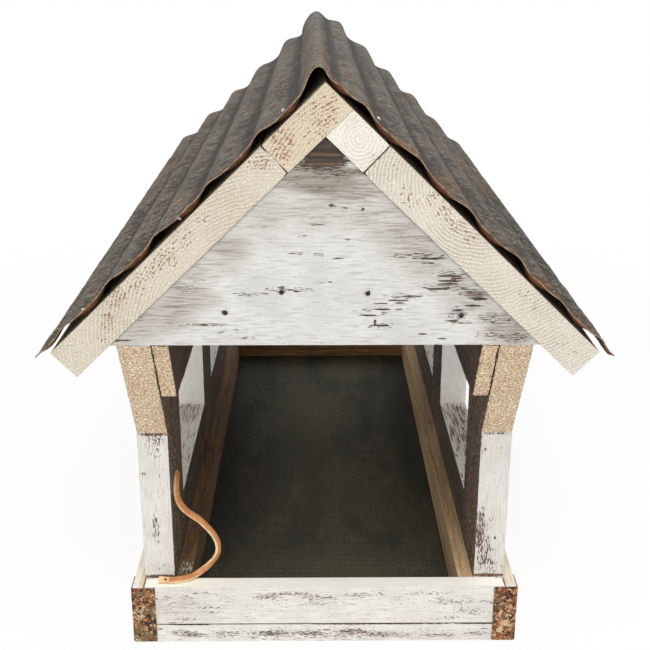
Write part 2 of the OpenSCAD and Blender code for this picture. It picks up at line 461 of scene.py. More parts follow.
@dataclass(frozen=True)
class OldBoard(GrainedFinish):
    """Unpainted face of an old board, dark with age and dirt, dry and matt.

    The eye gets long brown and near-black bands along the grain with a few flecks of
    wash that ran over from the painted face.
    """

    dark: str = "#33281E"
    mid: str = "#574430"
    light: str = "#7A6448"
    fleck: float = 0.0
    patches: tuple[Patch, ...] = ()

    def surface(self, mix: Mixer) -> Socket:
        """Builds the bare board.

        Args:
            mix: Mixes the nodes.

        Returns:
            The shader.
        """
        add, place = mix.add, mix.add(Node.PLACE)
        fine = mix.speckle(place, self.along(26, 0.9), 4, 0.65)
        band = mix.speckle(place, self.along(120, 6), 3, 0.55, 0.5, 5.0)
        spots = mix.speckle(place, self.along(3.0, 1.2), 2, 0.6, 0.0, 12.0)
        tone = mix.lay(
            self.dark, (band, 0.38, 0.62, 1.0, self.mid), (fine, 0.45, 0.72, 1.0, self.light),
        )
        white = mix.worn(place, self.patches, Wear.THIN, self.fleck)
        level = add(Node.SUBTRACT, 0.78, add(Node.MULTIPLY, white, 0.4))
        high = add(Node.ADD, level, 0.06)
        colour = mix.lay(tone, (spots, level, high, 1.0, "#C9C5BA"))
        return mix.shader(colour, 0.85, fine, 0.4)


@dataclass(frozen=True)
class SawnWood(Finish):
    """Fresh rough-sawn softwood, left bare: fuzzy, pale and matt.

    The eye gets a light tan with torn fibres in fine light and dark swirls, and
    orange-brown spots where resin darkened the late wood.

    Attributes:
        rough_cut: Strength of the torn fibres, from 0 for a planed face to 1.
    """

    pale: str = "#EBD7BA"
    tan: str = "#C7A780"
    resin: str = "#9A6E42"
    torn: str = "#A87F54"
    spots: float = 0.3
    rough_cut: float = 1.0

    def surface(self, mix: Mixer) -> Socket:
        """Builds the sawn face.

        Args:
            mix: Mixes the nodes.

        Returns:
            The shader.
        """
        add, place = mix.add, mix.add(Node.PLACE)
        fuzz = mix.speckle(place, (1.05, 1.05, 1.05), 2, 0.6, 0.5)
        tear = mix.speckle(place, (1.4, 1.4, 2.0), 2, 0.6, 0.9, 3.0)
        blot = mix.speckle(place, (16, 16, 16), 2, 0.5, 0.0, 8.0)
        even = 1.0 if self.rough_cut > 0.5 else 0.5
        base = mix.lay(self.pale, (fuzz, 0.42, 0.58, even, self.tan))
        level = add(Node.SUBTRACT, 0.76, add(Node.STEP, blot, 0.4, 0.7, 0.0, self.spots))
        mark = add(Node.STEP, tear, level, add(Node.ADD, level, 0.08))
        colour = mix.lay(base, (fuzz, 0.56, 0.64, 0.75 * self.rough_cut, self.torn))
        colour = add(Node.BLEND, add(Node.MULTIPLY, mark, 0.7), colour, self.resin)
        colour = mix.lay(colour, (fuzz, 0.43, 0.34, 0.9 * self.rough_cut, "#FFFCF2"))
        return mix.shader(colour, 0.9, fuzz, 0.3 + 0.9 * self.rough_cut)


@dataclass(frozen=True)
class EndGrain(Finish):
    """Sawn end of a softwood board: its growth rings, with pits in the late wood.

    The eye gets faint arcs round a far centre, fibre ends that catch the light, and
    rows of orange-brown pits where the saw tore the harder rings.

    Attributes:
        centre: Where the rings' middle is, across and up.
        ring: Distance from one ring to the next.
        patches: Places where the pits are, as chips, and where dirt greys it, as thin.
    """

    centre: tuple[float, float] = (0.0, 0.0)
    ring: float = 2.5
    pale: str = "#E9E1D0"
    cream: str = "#CDBE9F"
    resin: str = "#9A6130"
    torn: str = "#BBA88A"
    patches: tuple[Patch, ...] = ()

    def surface(self, mix: Mixer) -> Socket:
        """Builds the end grain.

        Args:
            mix: Mixes the nodes.

        Returns:
            The shader.
        """
        add, place = mix.add, mix.add(Node.PLACE)
        fuzz = mix.speckle(place, (0.85, 0.85, 0.85), 2, 0.6, 0.3)
        pore = mix.speckle(place, (1.4, 1.4, 1.4), 1, 0.5, 0.2, 3.0)
        wander = mix.speckle(place, (14, 30, 14), 3, 0.55, 0.0, 6.0)
        swell = mix.speckle(place, (34, 40, 34), 2, 0.5, 0.0, 13.0)
        x, z = (c * MM for c in self.centre)
        far = add(Node.LENGTH, add(Node.SHRINK, place, (1.0, 0.0, 1.0), (-x, 0.0, -z)))
        drift = add(Node.MULTIPLY, wander, 5.0 * MM)
        reach = add(Node.ADD, far, drift)
        turns = add(Node.MULTIPLY, reach, 2 * math.pi / (self.ring * MM))
        rings = add(Node.MULTIPLY, add(Node.SINE, turns), 0.5)
        rings = add(Node.ADD, rings, 0.5)
        strength = add(Node.STEP, swell, 0.35, 0.65, 0.3, 0.8)
        base = add(Node.BLEND, add(Node.MULTIPLY, rings, strength), self.pale, self.cream)
        base = mix.lay(
            base, (fuzz, 0.53, 0.64, 0.65, self.torn), (fuzz, 0.44, 0.35, 0.7, "#F2EEE5"),
        )
        dirt = mix.worn(place, self.patches, Wear.THIN, 0.0)
        base = add(Node.BLEND, add(Node.MINIMUM, dirt, 0.7), base, "#A89C88")
        pits = mix.worn(place, self.patches, Wear.CHIPS, 0.02)
        late = add(Node.MULTIPLY, add(Node.STEP, rings, 0.35, 0.9), 0.06)
        pits = add(Node.MINIMUM, pits, 1.9)
        gain = add(Node.MULTIPLY, pits, add(Node.ADD, late, 0.1))
        level = add(Node.SUBTRACT, 0.8, gain)
        mark = add(Node.STEP, pore, level, add(Node.ADD, level, 0.06))
        colour = add(Node.BLEND, add(Node.MULTIPLY, mark, 0.85), base, self.resin)
        height = add(Node.SUBTRACT, fuzz, add(Node.MULTIPLY, mark, 0.9))
        return mix.shader(colour, 0.88, height, 0.55)


@dataclass(frozen=True)
class RustyTin(Finish):
    """Old tin plate, rusted through its coating: rough, mottled and pitted.

    The eye gets orange-brown and dark brown blotches, crusts of pale tan and
    grey-green, and crisp dark pits.
    """

    lump: float = 4.6
    patches: tuple[Patch, ...] = ()

    def surface(self, mix: Mixer) -> Socket:
        """Builds the rust: chips bring the pale crust, thin the olive one.

        Args:
            mix: Mixes the nodes.

        Returns:
            The shader.
        """
        add, place = mix.add, mix.add(Node.PLACE)
        wide = mix.speckle(place, (self.lump,) * 3, 4, 0.68, 0.8)
        other = mix.speckle(place, (1.4 * self.lump,) * 3, 4, 0.66, 0.5, 7.0)
        crust = mix.speckle(place, (3.8,) * 3, 3, 0.62, 0.8, 21.0)
        grit = mix.speckle(place, (1.2,) * 3, 2, 0.6, 0.0, 3.0)
        pits = mix.speckle(place, (4.0,) * 3, 3, 0.6, 0.6, 11.0)
        pale = mix.worn(place, self.patches, Wear.CHIPS, 0.0)
        olive = mix.worn(place, self.patches, Wear.THIN, 0.0)
        stops = (0.38, "#26130B"), (0.64, "#DCA368"), (0.46, "#603219"), (0.54, "#9A572A")
        rust = add(Node.RAMP, wide, stops=stops)
        level = add(Node.SUBTRACT, 0.56, olive)
        grey = add(Node.STEP, other, level, add(Node.ADD, level, 0.06), 0.0, 0.85)
        colour = add(Node.BLEND, grey, rust, "#6C5F42")
        level = add(Node.SUBTRACT, 0.58, pale)
        tan = add(Node.STEP, crust, level, add(Node.ADD, level, 0.05), 0.0, 0.85)
        colour = add(Node.BLEND, tan, colour, "#D8C096")
        colour = mix.lay(
            colour, (grit, 0.51, 0.61, 0.62, "#4C2E1C"), (grit, 0.45, 0.36, 0.5, "#C08A58"),
        )
        hole = add(Node.STEP, pits, 0.57, 0.61)
        colour = add(Node.BLEND, hole, colour, "#1E0F08")
        height = add(Node.SUBTRACT, grit, hole)
        return mix.shader(colour, 0.78, height, 0.45)


@dataclass(frozen=True)
class WeatheredSheet(Finish):
    """Old galvanised roofing sheet, its zinc gone to a grey-brown patina.

    The eye gets a dull grey-brown with a painted highlight on the crests and painted shade, near
    black, in the valleys, dark streaks down the slope, light strokes painted as glints on the
    crests, rust-coloured blotches at the edges, and small pale specks. It reads the sheet's own
    map, in metres down the slope and along the ridge, and its crests.
    """

    patches: tuple[Patch, ...] = ()

    def surface(self, mix: Mixer) -> Socket:
        """Builds the patina.

        Args:
            mix: Mixes the nodes.

        Returns:
            The shader.
        """
        add = mix.add
        flat, place, crest = add(Node.UNROLLED), add(Node.PLACE), add(Node.CREST)
        stroke = mix.speckle(flat, (10, 7, 1), 4, 0.7, 1.6)
        glint = mix.speckle(flat, (8, 6, 1), 4, 0.7, 1.4, 44.0)
        drip = mix.speckle(flat, (26, 11, 1), 4, 0.66, 0.9, 31.0)
        cloud = mix.speckle(flat, (30, 60, 1), 4, 0.6, 0.6, 3.0)
        blot = mix.speckle(flat, (6, 12, 1), 3, 0.62, 0.8, 8.0)
        grit = mix.speckle(flat, (1.8, 4.0, 1), 2, 0.65, 0.0, 5.0)
        speck = mix.speckle(flat, (2.2, 4.5, 1), 1, 0.5, 0.0, 15.0)
        wear = mix.worn(place, self.patches, Wear.CHIPS, 0.0)
        # Patina in slow clouds, with a painted highlight on the crests; painted shade, near black,
        # follows in the hollows.
        tone = mix.lay(
            "#332D25", (cloud, 0.4, 0.6, 1.0, "#625B50"), (drip, 0.5, 0.62, 0.6, "#4C3925"),
            (crest, 0.55, 1.0, 0.45, "#6E675D"),
        )
        stain = add(Node.MULTIPLY, add(Node.STEP, drip, 0.4, 0.56, 0.3, 0.75), wear)
        tone = add(Node.BLEND, add(Node.MINIMUM, stain, 0.75), tone, "#705638")
        # Painted shade: near black in the hollows. The thin patches darken their places the same
        # way.
        low = add(Node.STEP, crest, 0.34, 0.02, 0.0, 0.93)
        dark_patches = mix.worn(place, self.patches, Wear.THIN, 0.0)
        tone = add(Node.BLEND, add(Node.MAXIMUM, low, dark_patches), tone, "#14100D")
        # Strokes down the slope: dark dirt, and light strokes as painted glints, stronger on the
        # crests.
        tone = mix.lay(tone, (stroke, 0.5, 0.57, 0.85, "#1A1612"))
        light = add(Node.STEP, glint, 0.54, 0.61, 0.0, 0.75)
        light = add(Node.MULTIPLY, light, add(Node.STEP, crest, 0.0, 0.4, 0.3, 1.0))
        tone = add(Node.BLEND, light, tone, "#90887B")
        # Rust in the worn places, in crumbs of brown, tan and cream.
        level = add(Node.SUBTRACT, 0.72, add(Node.MULTIPLY, wear, 0.24))
        rust = add(Node.STEP, blot, level, add(Node.ADD, level, 0.07))
        warm = mix.lay("#4A2E1B", (grit, 0.42, 0.6, 1.0, "#94683F"))
        colour = add(Node.BLEND, add(Node.MULTIPLY, rust, 0.8), tone, warm)
        colour = mix.lay(colour, (grit, 0.58, 0.7, 0.5, "#1F1B17"))
        sparse = add(Node.SUBTRACT, 0.75, add(Node.MULTIPLY, wear, 0.05))
        pale = add(Node.STEP, speck, sparse, add(Node.ADD, sparse, 0.05))
        colour = add(Node.BLEND, pale, colour, "#C9BFAE")
        return mix.shader(colour, 0.82, stroke, 0.4, Specular_IOR_Level=0.25)


@dataclass(frozen=True)
class SheetUnderside(Finish):
    """Underside of the old sheet: matt brown rust at the ends, and near black painted shade inside.
    """

    rims: tuple[Patch, ...] = worn_places(
        (0, -346, 0, FAR, 13, FAR, 0, 1.0), (0, 346, 0, FAR, 13, FAR, 0, 1.0),
    )

    def surface(self, mix: Mixer) -> Socket:
        """Builds the underside.

        Args:
            mix: Mixes the nodes.

        Returns:
            The shader.
        """
        add, place = mix.add, mix.add(Node.PLACE)
        wide = mix.speckle(place, (6, 6, 6), 3, 0.6)
        grit = mix.speckle(place, (1, 1, 1), 3, 0.7, 0.0, 4.0)
        rust = mix.lay(
            "#5E3721", (wide, 0.35, 0.65, 1.0, "#8C5531"), (grit, 0.5, 0.8, 0.5, "#472818"),
        )
        rim = mix.worn(place, self.rims, Wear.THIN, 0.0)
        # Painted shade: near black away from the rusted ends.
        colour = add(Node.BLEND, rim, "#1D130D", rust)
        return mix.shader(colour, 0.8, grit, 0.25)


@dataclass(frozen=True)
class CutEdge(Finish):
    """Sheared edge of the sheet, worn to a light tan."""

    def surface(self, mix: Mixer) -> Socket:
        """Builds the edge.

        Args:
            mix: Mixes the nodes.

        Returns:
            The shader.
        """
        place = mix.add(Node.PLACE)
        grit = mix.speckle(place, (4, 4, 4), 3, 0.7)
        colour = mix.lay("#A08765", (grit, 0.35, 0.65, 1.0, "#654A33"))
        return mix.shader(colour, 0.7, grit, 0.2)


@dataclass(frozen=True)
class ScreenCloth(Finish):
    """Fine insect screen, dark grey-green coated wire, with a little dust.

    Attributes:
        patches: Places that are darker, as chips, for dirt and for painted shade, and dusty, as
            thin.
    """

    tone: str = "#33312A"
    dust: str = "#4C483B"
    patches: tuple[Patch, ...] = ()

    def surface(self, mix: Mixer) -> Socket:
        """Builds the cloth.

        Args:
            mix: Mixes the nodes.

        Returns:
            The shader.
        """
        add, place = mix.add, mix.add(Node.PLACE)
        cloud = mix.speckle(place, (34, 90, 40), 3, 0.6)
        rust = mix.speckle(place, (22, 60, 30), 4, 0.65, 0.0, 8.0)
        grit = mix.speckle(place, (1.5, 4.0, 1.5), 3, 0.75, 0.0, 5.0)
        colour = mix.lay(
            self.tone, (cloud, 0.4, 0.62, 1.0, self.dust), (rust, 0.52, 0.66, 0.5, "#3B2A1A"),
            (grit, 0.42, 0.6, 0.75, "#191813"),
        )
        dusty = mix.worn(place, self.patches, Wear.THIN, 0.0)
        colour = add(Node.BLEND, add(Node.MINIMUM, dusty, 0.8), colour, "#676447")
        # Darker places: dirt, and painted shade along the side rails.
        dirt_and_shade = mix.worn(place, self.patches, Wear.CHIPS, 0.0)
        colour = add(Node.BLEND, add(Node.MINIMUM, dirt_and_shade, 0.8), colour, "#100F0B")
        return mix.shader(colour, 0.6, grit, 0.2)


@dataclass(frozen=True)
class Leather(Finish):
    """Vegetable-tanned leather lace: a smooth grain side and a pale flesh side."""

    tone: str = "#C98A54"
    other: str = "#B4733F"

    def surface(self, mix: Mixer) -> Socket:
        """Builds the leather.

        Args:
            mix: Mixes the nodes.

        Returns:
            The shader.
        """
        place = mix.add(Node.PLACE)
        cloud = mix.speckle(place, (7, 7, 7), 3, 0.55)
        grain = mix.speckle(place, (0.5, 0.5, 0.5), 2, 0.6, 0.0, 5.0)
        colour = mix.lay(self.tone, (cloud, 0.35, 0.7, 1.0, self.other))
        return mix.shader(colour, 0.55, grain, 0.08)


@dataclass(frozen=True)
class NailSteel(Finish):
    """Wire nail: its head is dark with rust, or rubbed bright by the hammer."""

    tone: str = "#35221A"
    spot: str = "#6A3B24"
    metal: float = 0.3

    def surface(self, mix: Mixer) -> Socket:
        """Builds the nail's steel.

        Args:
            mix: Mixes the nodes.

        Returns:
            The shader.
        """
        place = mix.add(Node.PLACE)
        grit = mix.speckle(place, (0.9, 0.9, 0.9), 2, 0.6)
        colour = mix.lay(self.tone, (grit, 0.4, 0.65, 1.0, self.spot))
        return mix.shader(colour, 0.5, grit, 0.1, Metallic=self.metal)


@dataclass(frozen=True)
class StudioFloor(Finish):
    """Plain pale floor that keeps the feeder's shadow and looks white by itself.

    Attributes:
        tone: The paper's colour.
        lift: Share of plain white that the camera sees, near the feeder and far off.
    """

    tone: str = "#F8F8F7"
    lift: tuple[float, float] = (0.88, 1.0)

    def surface(self, mix: Mixer) -> Socket:
        """Builds the floor, lifted to white where the camera sees it.

        Args:
            mix: Mixes the nodes.

        Returns:
            The shader.
        """
        add = mix.add
        white, matt = add(Node.GLOW, "#FFFFFF", 1.0), add(Node.MATT, self.tone)
        seen = mix.seen()
        far = add(Node.LENGTH, add(Node.PLACE))
        amount = add(Node.MULTIPLY, seen, add(Node.STEP, far, 0.4, 1.5, *self.lift))
        return add(Node.SHARE, amount, matt, white)


# --- Boards -------------------------------------------------------------------------


@dataclass
class Board:
    """One sawn board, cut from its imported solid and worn.

    Attributes:
        node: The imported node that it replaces.
        length_axis: Direction of its grain.
        width_axis: Direction across its face.
        cell: Distance between its cuts along and across the grain.
        arris: Size of its worn edges.
        wear: How deep its faces are worn.
        ragged: How deep its edges are torn.
        lump: Width of one tear.
        fray: Tells how many times more a place is torn.
        pick: Tells a face's finish from its direction and place.
        holes: Nail holes: the place of each, its radius and its depth.
        extra: Runs of finer cuts: the direction, the start, the end and the step.
        proud: How far its outer side stands out past the solid, and which way.
    """

    node: str
    slot: str
    finishes: list
    length_axis: Vector
    width_axis: Vector
    cell: tuple[float, float] = (16.0, 8.0)
    arris: float = 0.45
    wear: float = 0.25
    ragged: float = 0.5
    lump: float = 3.0
    seed: float = 0.0
    fray: Callable[[Vector], float] | None = None
    pick: Callable[[Vector, Vector], int] | None = None
    holes: list = field(default_factory=list)
    extra: list = field(default_factory=list)
    proud: Vector = field(default_factory=Vector)

    def build(self) -> bpy.types.Object:
        """Cuts, wears and dresses the board.

        Returns:
            The worn board.
        """
        mesh = bmesh.new()
        mesh.from_mesh(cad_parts[self.node].data)
        bmesh.ops.remove_doubles(mesh, verts=mesh.verts, dist=0.01 * MM)
        bmesh.ops.dissolve_limit(
            mesh, angle_limit=math.radians(1), verts=mesh.verts, edges=mesh.edges
        )
        if self.proud.length:
            face = max(v.co.dot(self.proud) for v in mesh.verts)
            for vert in mesh.verts:
                if face - vert.co.dot(self.proud) < 0.1 * MM:
                    vert.co += self.proud * MM
        bmesh.ops.bevel(
            mesh, geom=list(mesh.edges), offset=self.arris * MM, offset_type="OFFSET", segments=2,
            profile=0.5, affect="EDGES", material=-1, clamp_overlap=True,
        )
        self.slice(mesh)
        self.sort_faces(mesh)
        self.drill(mesh)
        self.tear(mesh)
        piece = finish_piece(mesh, self.node + "_worn", self.finishes)
        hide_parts(self.node)
        return piece

    def slice(self, mesh: bmesh.types.BMesh) -> None:
        """Cuts the board into cells along and across its grain.

        Args:
            mesh: The board's shape.
        """
        third = self.length_axis.cross(self.width_axis)
        steps = (self.cell[0], self.cell[1], self.cell[1])
        for axis, step in zip((self.length_axis, self.width_axis, third), steps):
            places = [v.co.dot(axis) for v in mesh.verts]
            low, high = min(places), max(places)
            rim = (self.arris + 1.0) * MM
            count = max(1, round((high - low - 2 * rim) / (step * MM)))
            cuts = [low + rim + (high - low - 2 * rim) * i / count for i in range(count + 1)]
            cuts += [v for v in self.extra_cuts(axis) if low + rim < v < high - rim]
            for cut in sorted(set(cuts)):
                bmesh.ops.bisect_plane(
                    mesh, geom=mesh.verts[:] + mesh.edges[:] + mesh.faces[:], dist=0.001 * MM,
                    plane_co=axis * cut, plane_no=axis,
                )

    def extra_cuts(self, axis: Vector) -> list[float]:
        """Further places to cut along an axis, in metres.

        Args:
            axis: The direction.

        Returns:
            The places.
        """
        found = []
        for way, start, end, step in self.extra:
            if abs(way.dot(axis)) > 0.99:
                count = max(1, round((end - start) / step))
                found += [(start + (end - start) * i / count) * MM for i in range(count + 1)]
        return found

    def sort_faces(self, mesh: bmesh.types.BMesh) -> None:
        """Gives each face its finish.

        Args:
            mesh: The board's shape.
        """
        if self.pick is None:
            return
        mesh.normal_update()
        for face in mesh.faces:
            face.material_index = self.pick(face.normal, face.calc_center_median())

    def drill(self, mesh: bmesh.types.BMesh) -> None:
        """Sinks the nail holes into a face that looks along -Y.

        Args:
            mesh: The board's shape.
        """
        skin, around = 0.2 * MM, 5.5 * MM
        for x, y, z, radius, depth in self.holes:
            centre = Vector((x, y, z)) * MM
            near = [
                e
                for e in mesh.edges
                if all(abs(v.co.y - centre.y) < skin for v in e.verts)
                and any((v.co - centre).length < around for v in e.verts)
            ]
            bmesh.ops.subdivide_edges(mesh, edges=near, cuts=4, use_grid_fill=True)
            for vert in mesh.verts:
                apart = vert.co - centre
                if abs(apart.y) > skin:
                    continue
                far = Vector((apart.x, 0, apart.z)).length
                if far < radius * MM:
                    vert.co.y += depth * MM * (1 - smooth(0.75 * radius, radius, far / MM))

    def tear(self, mesh: bmesh.types.BMesh) -> None:
        """Wears the faces a little and tears the edges more, always inwards.

        Args:
            mesh: The board's shape.
        """
        mesh.normal_update()
        moves = []
        for vert in mesh.verts:
            faces = vert.link_faces
            spread = min((f.normal.dot(vert.normal) for f in faces), default=1.0)
            fray = self.fray(vert.co) if self.fray else 1.0
            edge = 1.0 if spread < (0.97 if fray < 1.5 else 0.988) else 0.0
            slow = 0.5 + 0.5 * rough(vert.co, 5 * self.lump, self.seed)
            quick = 0.5 + 0.5 * rough(vert.co, self.lump, self.seed + 5)
            torn = self.ragged * fray
            depth = self.wear * slow + edge * torn * quick * quick * 2
            moves.append((vert, vert.normal * (-depth * MM)))
        for vert, move in moves:
            vert.co += move


# --- Studio -------------------------------------------------------------------------


@dataclass
class Studio:
    """Floor, lamps, world and camera.

    Attributes:
        eye: Place of the camera, in millimetres.
        pitch: How far it looks down, in degrees.
        yaw: How far it looks to the right.
        roll: How far it is tipped.
        sensor: Width of its sensor.
        focal_share: Its focal length as a share of the sensor's width.
        shift: How far its frame is moved up, as a share of its width.
        floor_half: Half of the floor's width, in metres.
        dim: The world's strength where the camera doesn't see it.
    """

    eye: Point = (-6.46, -1008.95, 514.05)
    pitch: float = 19.39
    yaw: float = 0.51
    roll: float = -0.05
    sensor: float = 36.0
    focal_share: float = 1063.55 / 650
    shift: float = 0.0009
    floor_half: float = 25.0
    dim: float = 0.36

    def camera(self) -> None:
        """Sets the camera at the feeder's front, looking a little down."""
        data = bpy.data.cameras.new("studio_camera")
        data.sensor_width = self.sensor
        data.lens = self.sensor * self.focal_share
        data.shift_y = self.shift
        data.clip_end = 100.0
        seen = bpy.data.objects.new("studio_camera", data)
        turn = Euler(
            (math.radians(90 - self.pitch), math.radians(self.roll), math.radians(-self.yaw))
        )
        seen.matrix_world = Matrix.Translation(Vector(self.eye) * MM) @ turn.to_matrix().to_4x4()
        bpy.context.scene.collection.objects.link(seen)
        bpy.context.scene.camera = seen

    def floor(self) -> None:
        """Lays the plain pale floor."""
        mesh = bmesh.new()
        bmesh.ops.create_grid(mesh, x_segments=2, y_segments=2, size=self.floor_half)
        data = bpy.data.meshes.new("studio_floor")
        mesh.to_mesh(data)
        mesh.free()
        data.materials.append(StudioFloor("matt_paper_floor").material())
        floor = bpy.data.objects.new("studio_floor", data)
        bpy.context.scene.collection.objects.link(floor)

    def lamp(self, name: str, place: Point, aim: Point, size: float, power: float) -> None:
        """Hangs one soft lamp.

        Args:
            name: Its name.
            place: Where it hangs, in metres.
            aim: Where it looks, in metres.
            size: Width of its square, in metres.
            power: Its power in watts.
        """
        data = bpy.data.lights.new(name, "AREA")
        data.shape = "SQUARE"
        data.size = size
        data.energy = power
        lamp = bpy.data.objects.new(name, data)
        way = Vector(place) - Vector(aim)
        turn = way.to_track_quat("Z", "Y").to_matrix().to_4x4()
        lamp.matrix_world = Matrix.Translation(Vector(place)) @ turn
        bpy.context.scene.collection.objects.link(lamp)

    def light(self) -> None:
        """Hangs the lamps and sets the world."""
        middle = (0.0, 0.0, 0.22)
        for plan in (
            ("front_softbox", (-0.4, -2.7, 0.9), (0.0, 0.0, 0.16), 1.4, 17.5),
            ("high_softbox", (0.1, -1.7, 2.3), (0.0, -0.3, 0.05), 1.4, 34.0),
            ("left_softbox", (-2.2, -0.6, 1.9), middle, 1.6, 18.0),
            ("right_softbox", (2.2, -0.4, 1.9), middle, 1.6, 13.0),
            ("back_softbox", (0.2, 2.4, 2.0), middle, 1.6, 22.0),
        ):
            self.lamp(*plan)
        world = bpy.data.worlds.new("studio_world")
        bpy.context.scene.world = world
        world.use_nodes = True
        world.node_tree.nodes.clear()
        mix = Mixer(world.node_tree)
        strength = mix.add(Node.STEP, mix.seen(), 0.0, 1.0, self.dim, 1.0)
        mix.add(Node.WORLD, mix.add(Node.SKY, "#FFFFFF", strength))
        bpy.context.scene.view_settings.view_transform = "Standard"


# --- Leather lace -------------------------------------------------------------------


@dataclass
class LeatherLace:
    """Flat lace from the left front post's inner face to the top of the front rail.

    Attributes:
        route: The points that it follows, from the post to its nailed end.
        width: Its width across the flat.
        thickness: Its thickness.
        per_span: Number of rings from one point of the route to the next.
        frayed: Share of the lace at its nailed end that is splayed and torn.
    """

    route: tuple[Point, ...] = (
        (-114.8, -262, 130), (-114.8, -270, 126), (-114.5, -275, 119), (-112.5, -276, 111),
        (-107, -277, 104), (-98, -278, 97.5), (-90.5, -279, 90), (-85, -280, 82), (-83, -281, 74),
        (-85, -282, 66.5), (-91, -283, 59.5), (-98, -285, 54.5), (-105, -289, 52.3),
        (-113, -292, 52.2), (-121, -293, 52.2), (-129, -292, 52.2),
    )
    width: float = 4.9
    thickness: float = 2.9
    per_span: int = 5
    frayed: float = 0.07

    def centre_line(self) -> list[Vector]:
        """Gives the smooth line through the route, in metres.

        Returns:
            Its points, from the post to the nailed end.
        """
        points = [Vector(p) * MM for p in self.route]
        line = []
        for i in range(len(points) - 1):
            before = points[max(i - 1, 0)]
            after = points[min(i + 2, len(points) - 1)]
            here, there = points[i], points[i + 1]
            for j in range(self.per_span):
                u = j / self.per_span
                line.append(
                    0.5
                    * (
                        2 * here
                        + (there - before) * u
                        + (2 * before - 5 * here + 4 * there - after) * u * u
                        + (3 * here - before - 3 * there + after) * u**3
                    )
                )
        line.append(points[-1])
        return line

    def rings(self, mesh: bmesh.types.BMesh, line: list[Vector]) -> list[tuple[list, Vector]]:
        """Sets one flat ring round each point of the line.

        Args:
            mesh: The mesh that takes the rings.
            line: The lace's middle line.

        Returns:
            Each ring's vertices with the way that its flat looks, from the post to
            the nailed end.
        """
        made = []
        last = len(line) - 1
        for i, point in enumerate(line):
            ahead = (line[min(i + 1, last)] - line[max(i - 1, 0)]).normalized()
            share = i / last
            # The flat looks forwards on the post and in the air, and up on the rail.
            lie = smooth(0.62, 0.8, share)
            face = Vector((0.8, -0.7, 0.25)).lerp(Vector((0.0, -0.5, 1.0)), lie)
            out = (face - ahead * face.dot(ahead)).normalized()
            side = out.cross(ahead)
            splay = smooth(1 - self.frayed, 1.0, share)
            wide = self.width / 2 * MM * (1 + 0.05 * math.sin(9 * share) + 0.22 * splay)
            thick = self.thickness / 2 * MM * (1 - 0.25 * splay)
            turn = Matrix((side, out, ahead)).transposed().to_4x4()
            ring = bmesh.ops.create_circle(mesh, segments=16, radius=1.0)["verts"]
            for vert in ring:
                x = math.copysign(abs(vert.co.x) ** 0.55, vert.co.x) * wide
                y = math.copysign(abs(vert.co.y) ** 0.6, vert.co.y) * thick
                torn = 0.9 * MM * rough(point + Vector((x, y, 0)), 1.5, 4.0) * (i == last)
                dent = 1 + 0.1 * rough(point + Vector((x, y, 0)), 4.0, 8.0)
                vert.co = point + turn @ Vector((x * dent, y * dent, torn))
            made.append((ring, out))
        return made

    def build(self) -> bpy.types.Object:
        """Sweeps the lace's flat section along its line.

        Returns:
            The lace.
        """
        line = self.centre_line()
        mesh = bmesh.new()
        rings = self.rings(mesh, line)
        bands = []
        for (near, out), (far, _) in zip(rings, rings[1:]):
            chosen = {*near, *far}
            edges = [e for e in mesh.edges if e.verts[0] in chosen and e.verts[1] in chosen]
            loops = [e for e in edges if (e.verts[0] in near) == (e.verts[1] in near)]
            bands.append((bmesh.ops.bridge_loops(mesh, edges=loops)["faces"], out))
        for ring, _ in (rings[0], rings[-1]):
            bmesh.ops.contextual_create(mesh, geom=list(ring))
        bmesh.ops.recalc_face_normals(mesh, faces=mesh.faces)
        end = line[-1]
        for face in mesh.faces:
            face.material_index = 1
        for faces, out in bands:
            for face in faces:
                near_end = (face.calc_center_median() - end).length < 9 * MM
                face.material_index = 0 if face.normal.dot(out) > 0.8 and not near_end else 1
        finishes = [
            Leather("veg_tanned_leather_grain"),
            Leather("veg_tanned_leather_flesh", "#EBD3AC", "#D8AE7A"),
        ]
        lace = finish_piece(mesh, "leather_lace_flat", finishes, 60.0)
        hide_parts("leather_lace")
        length = sum((b - a).length for a, b in zip(line, line[1:]))
        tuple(line[0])
        return lace


# --- Tray ---------------------------------------------------------------------------


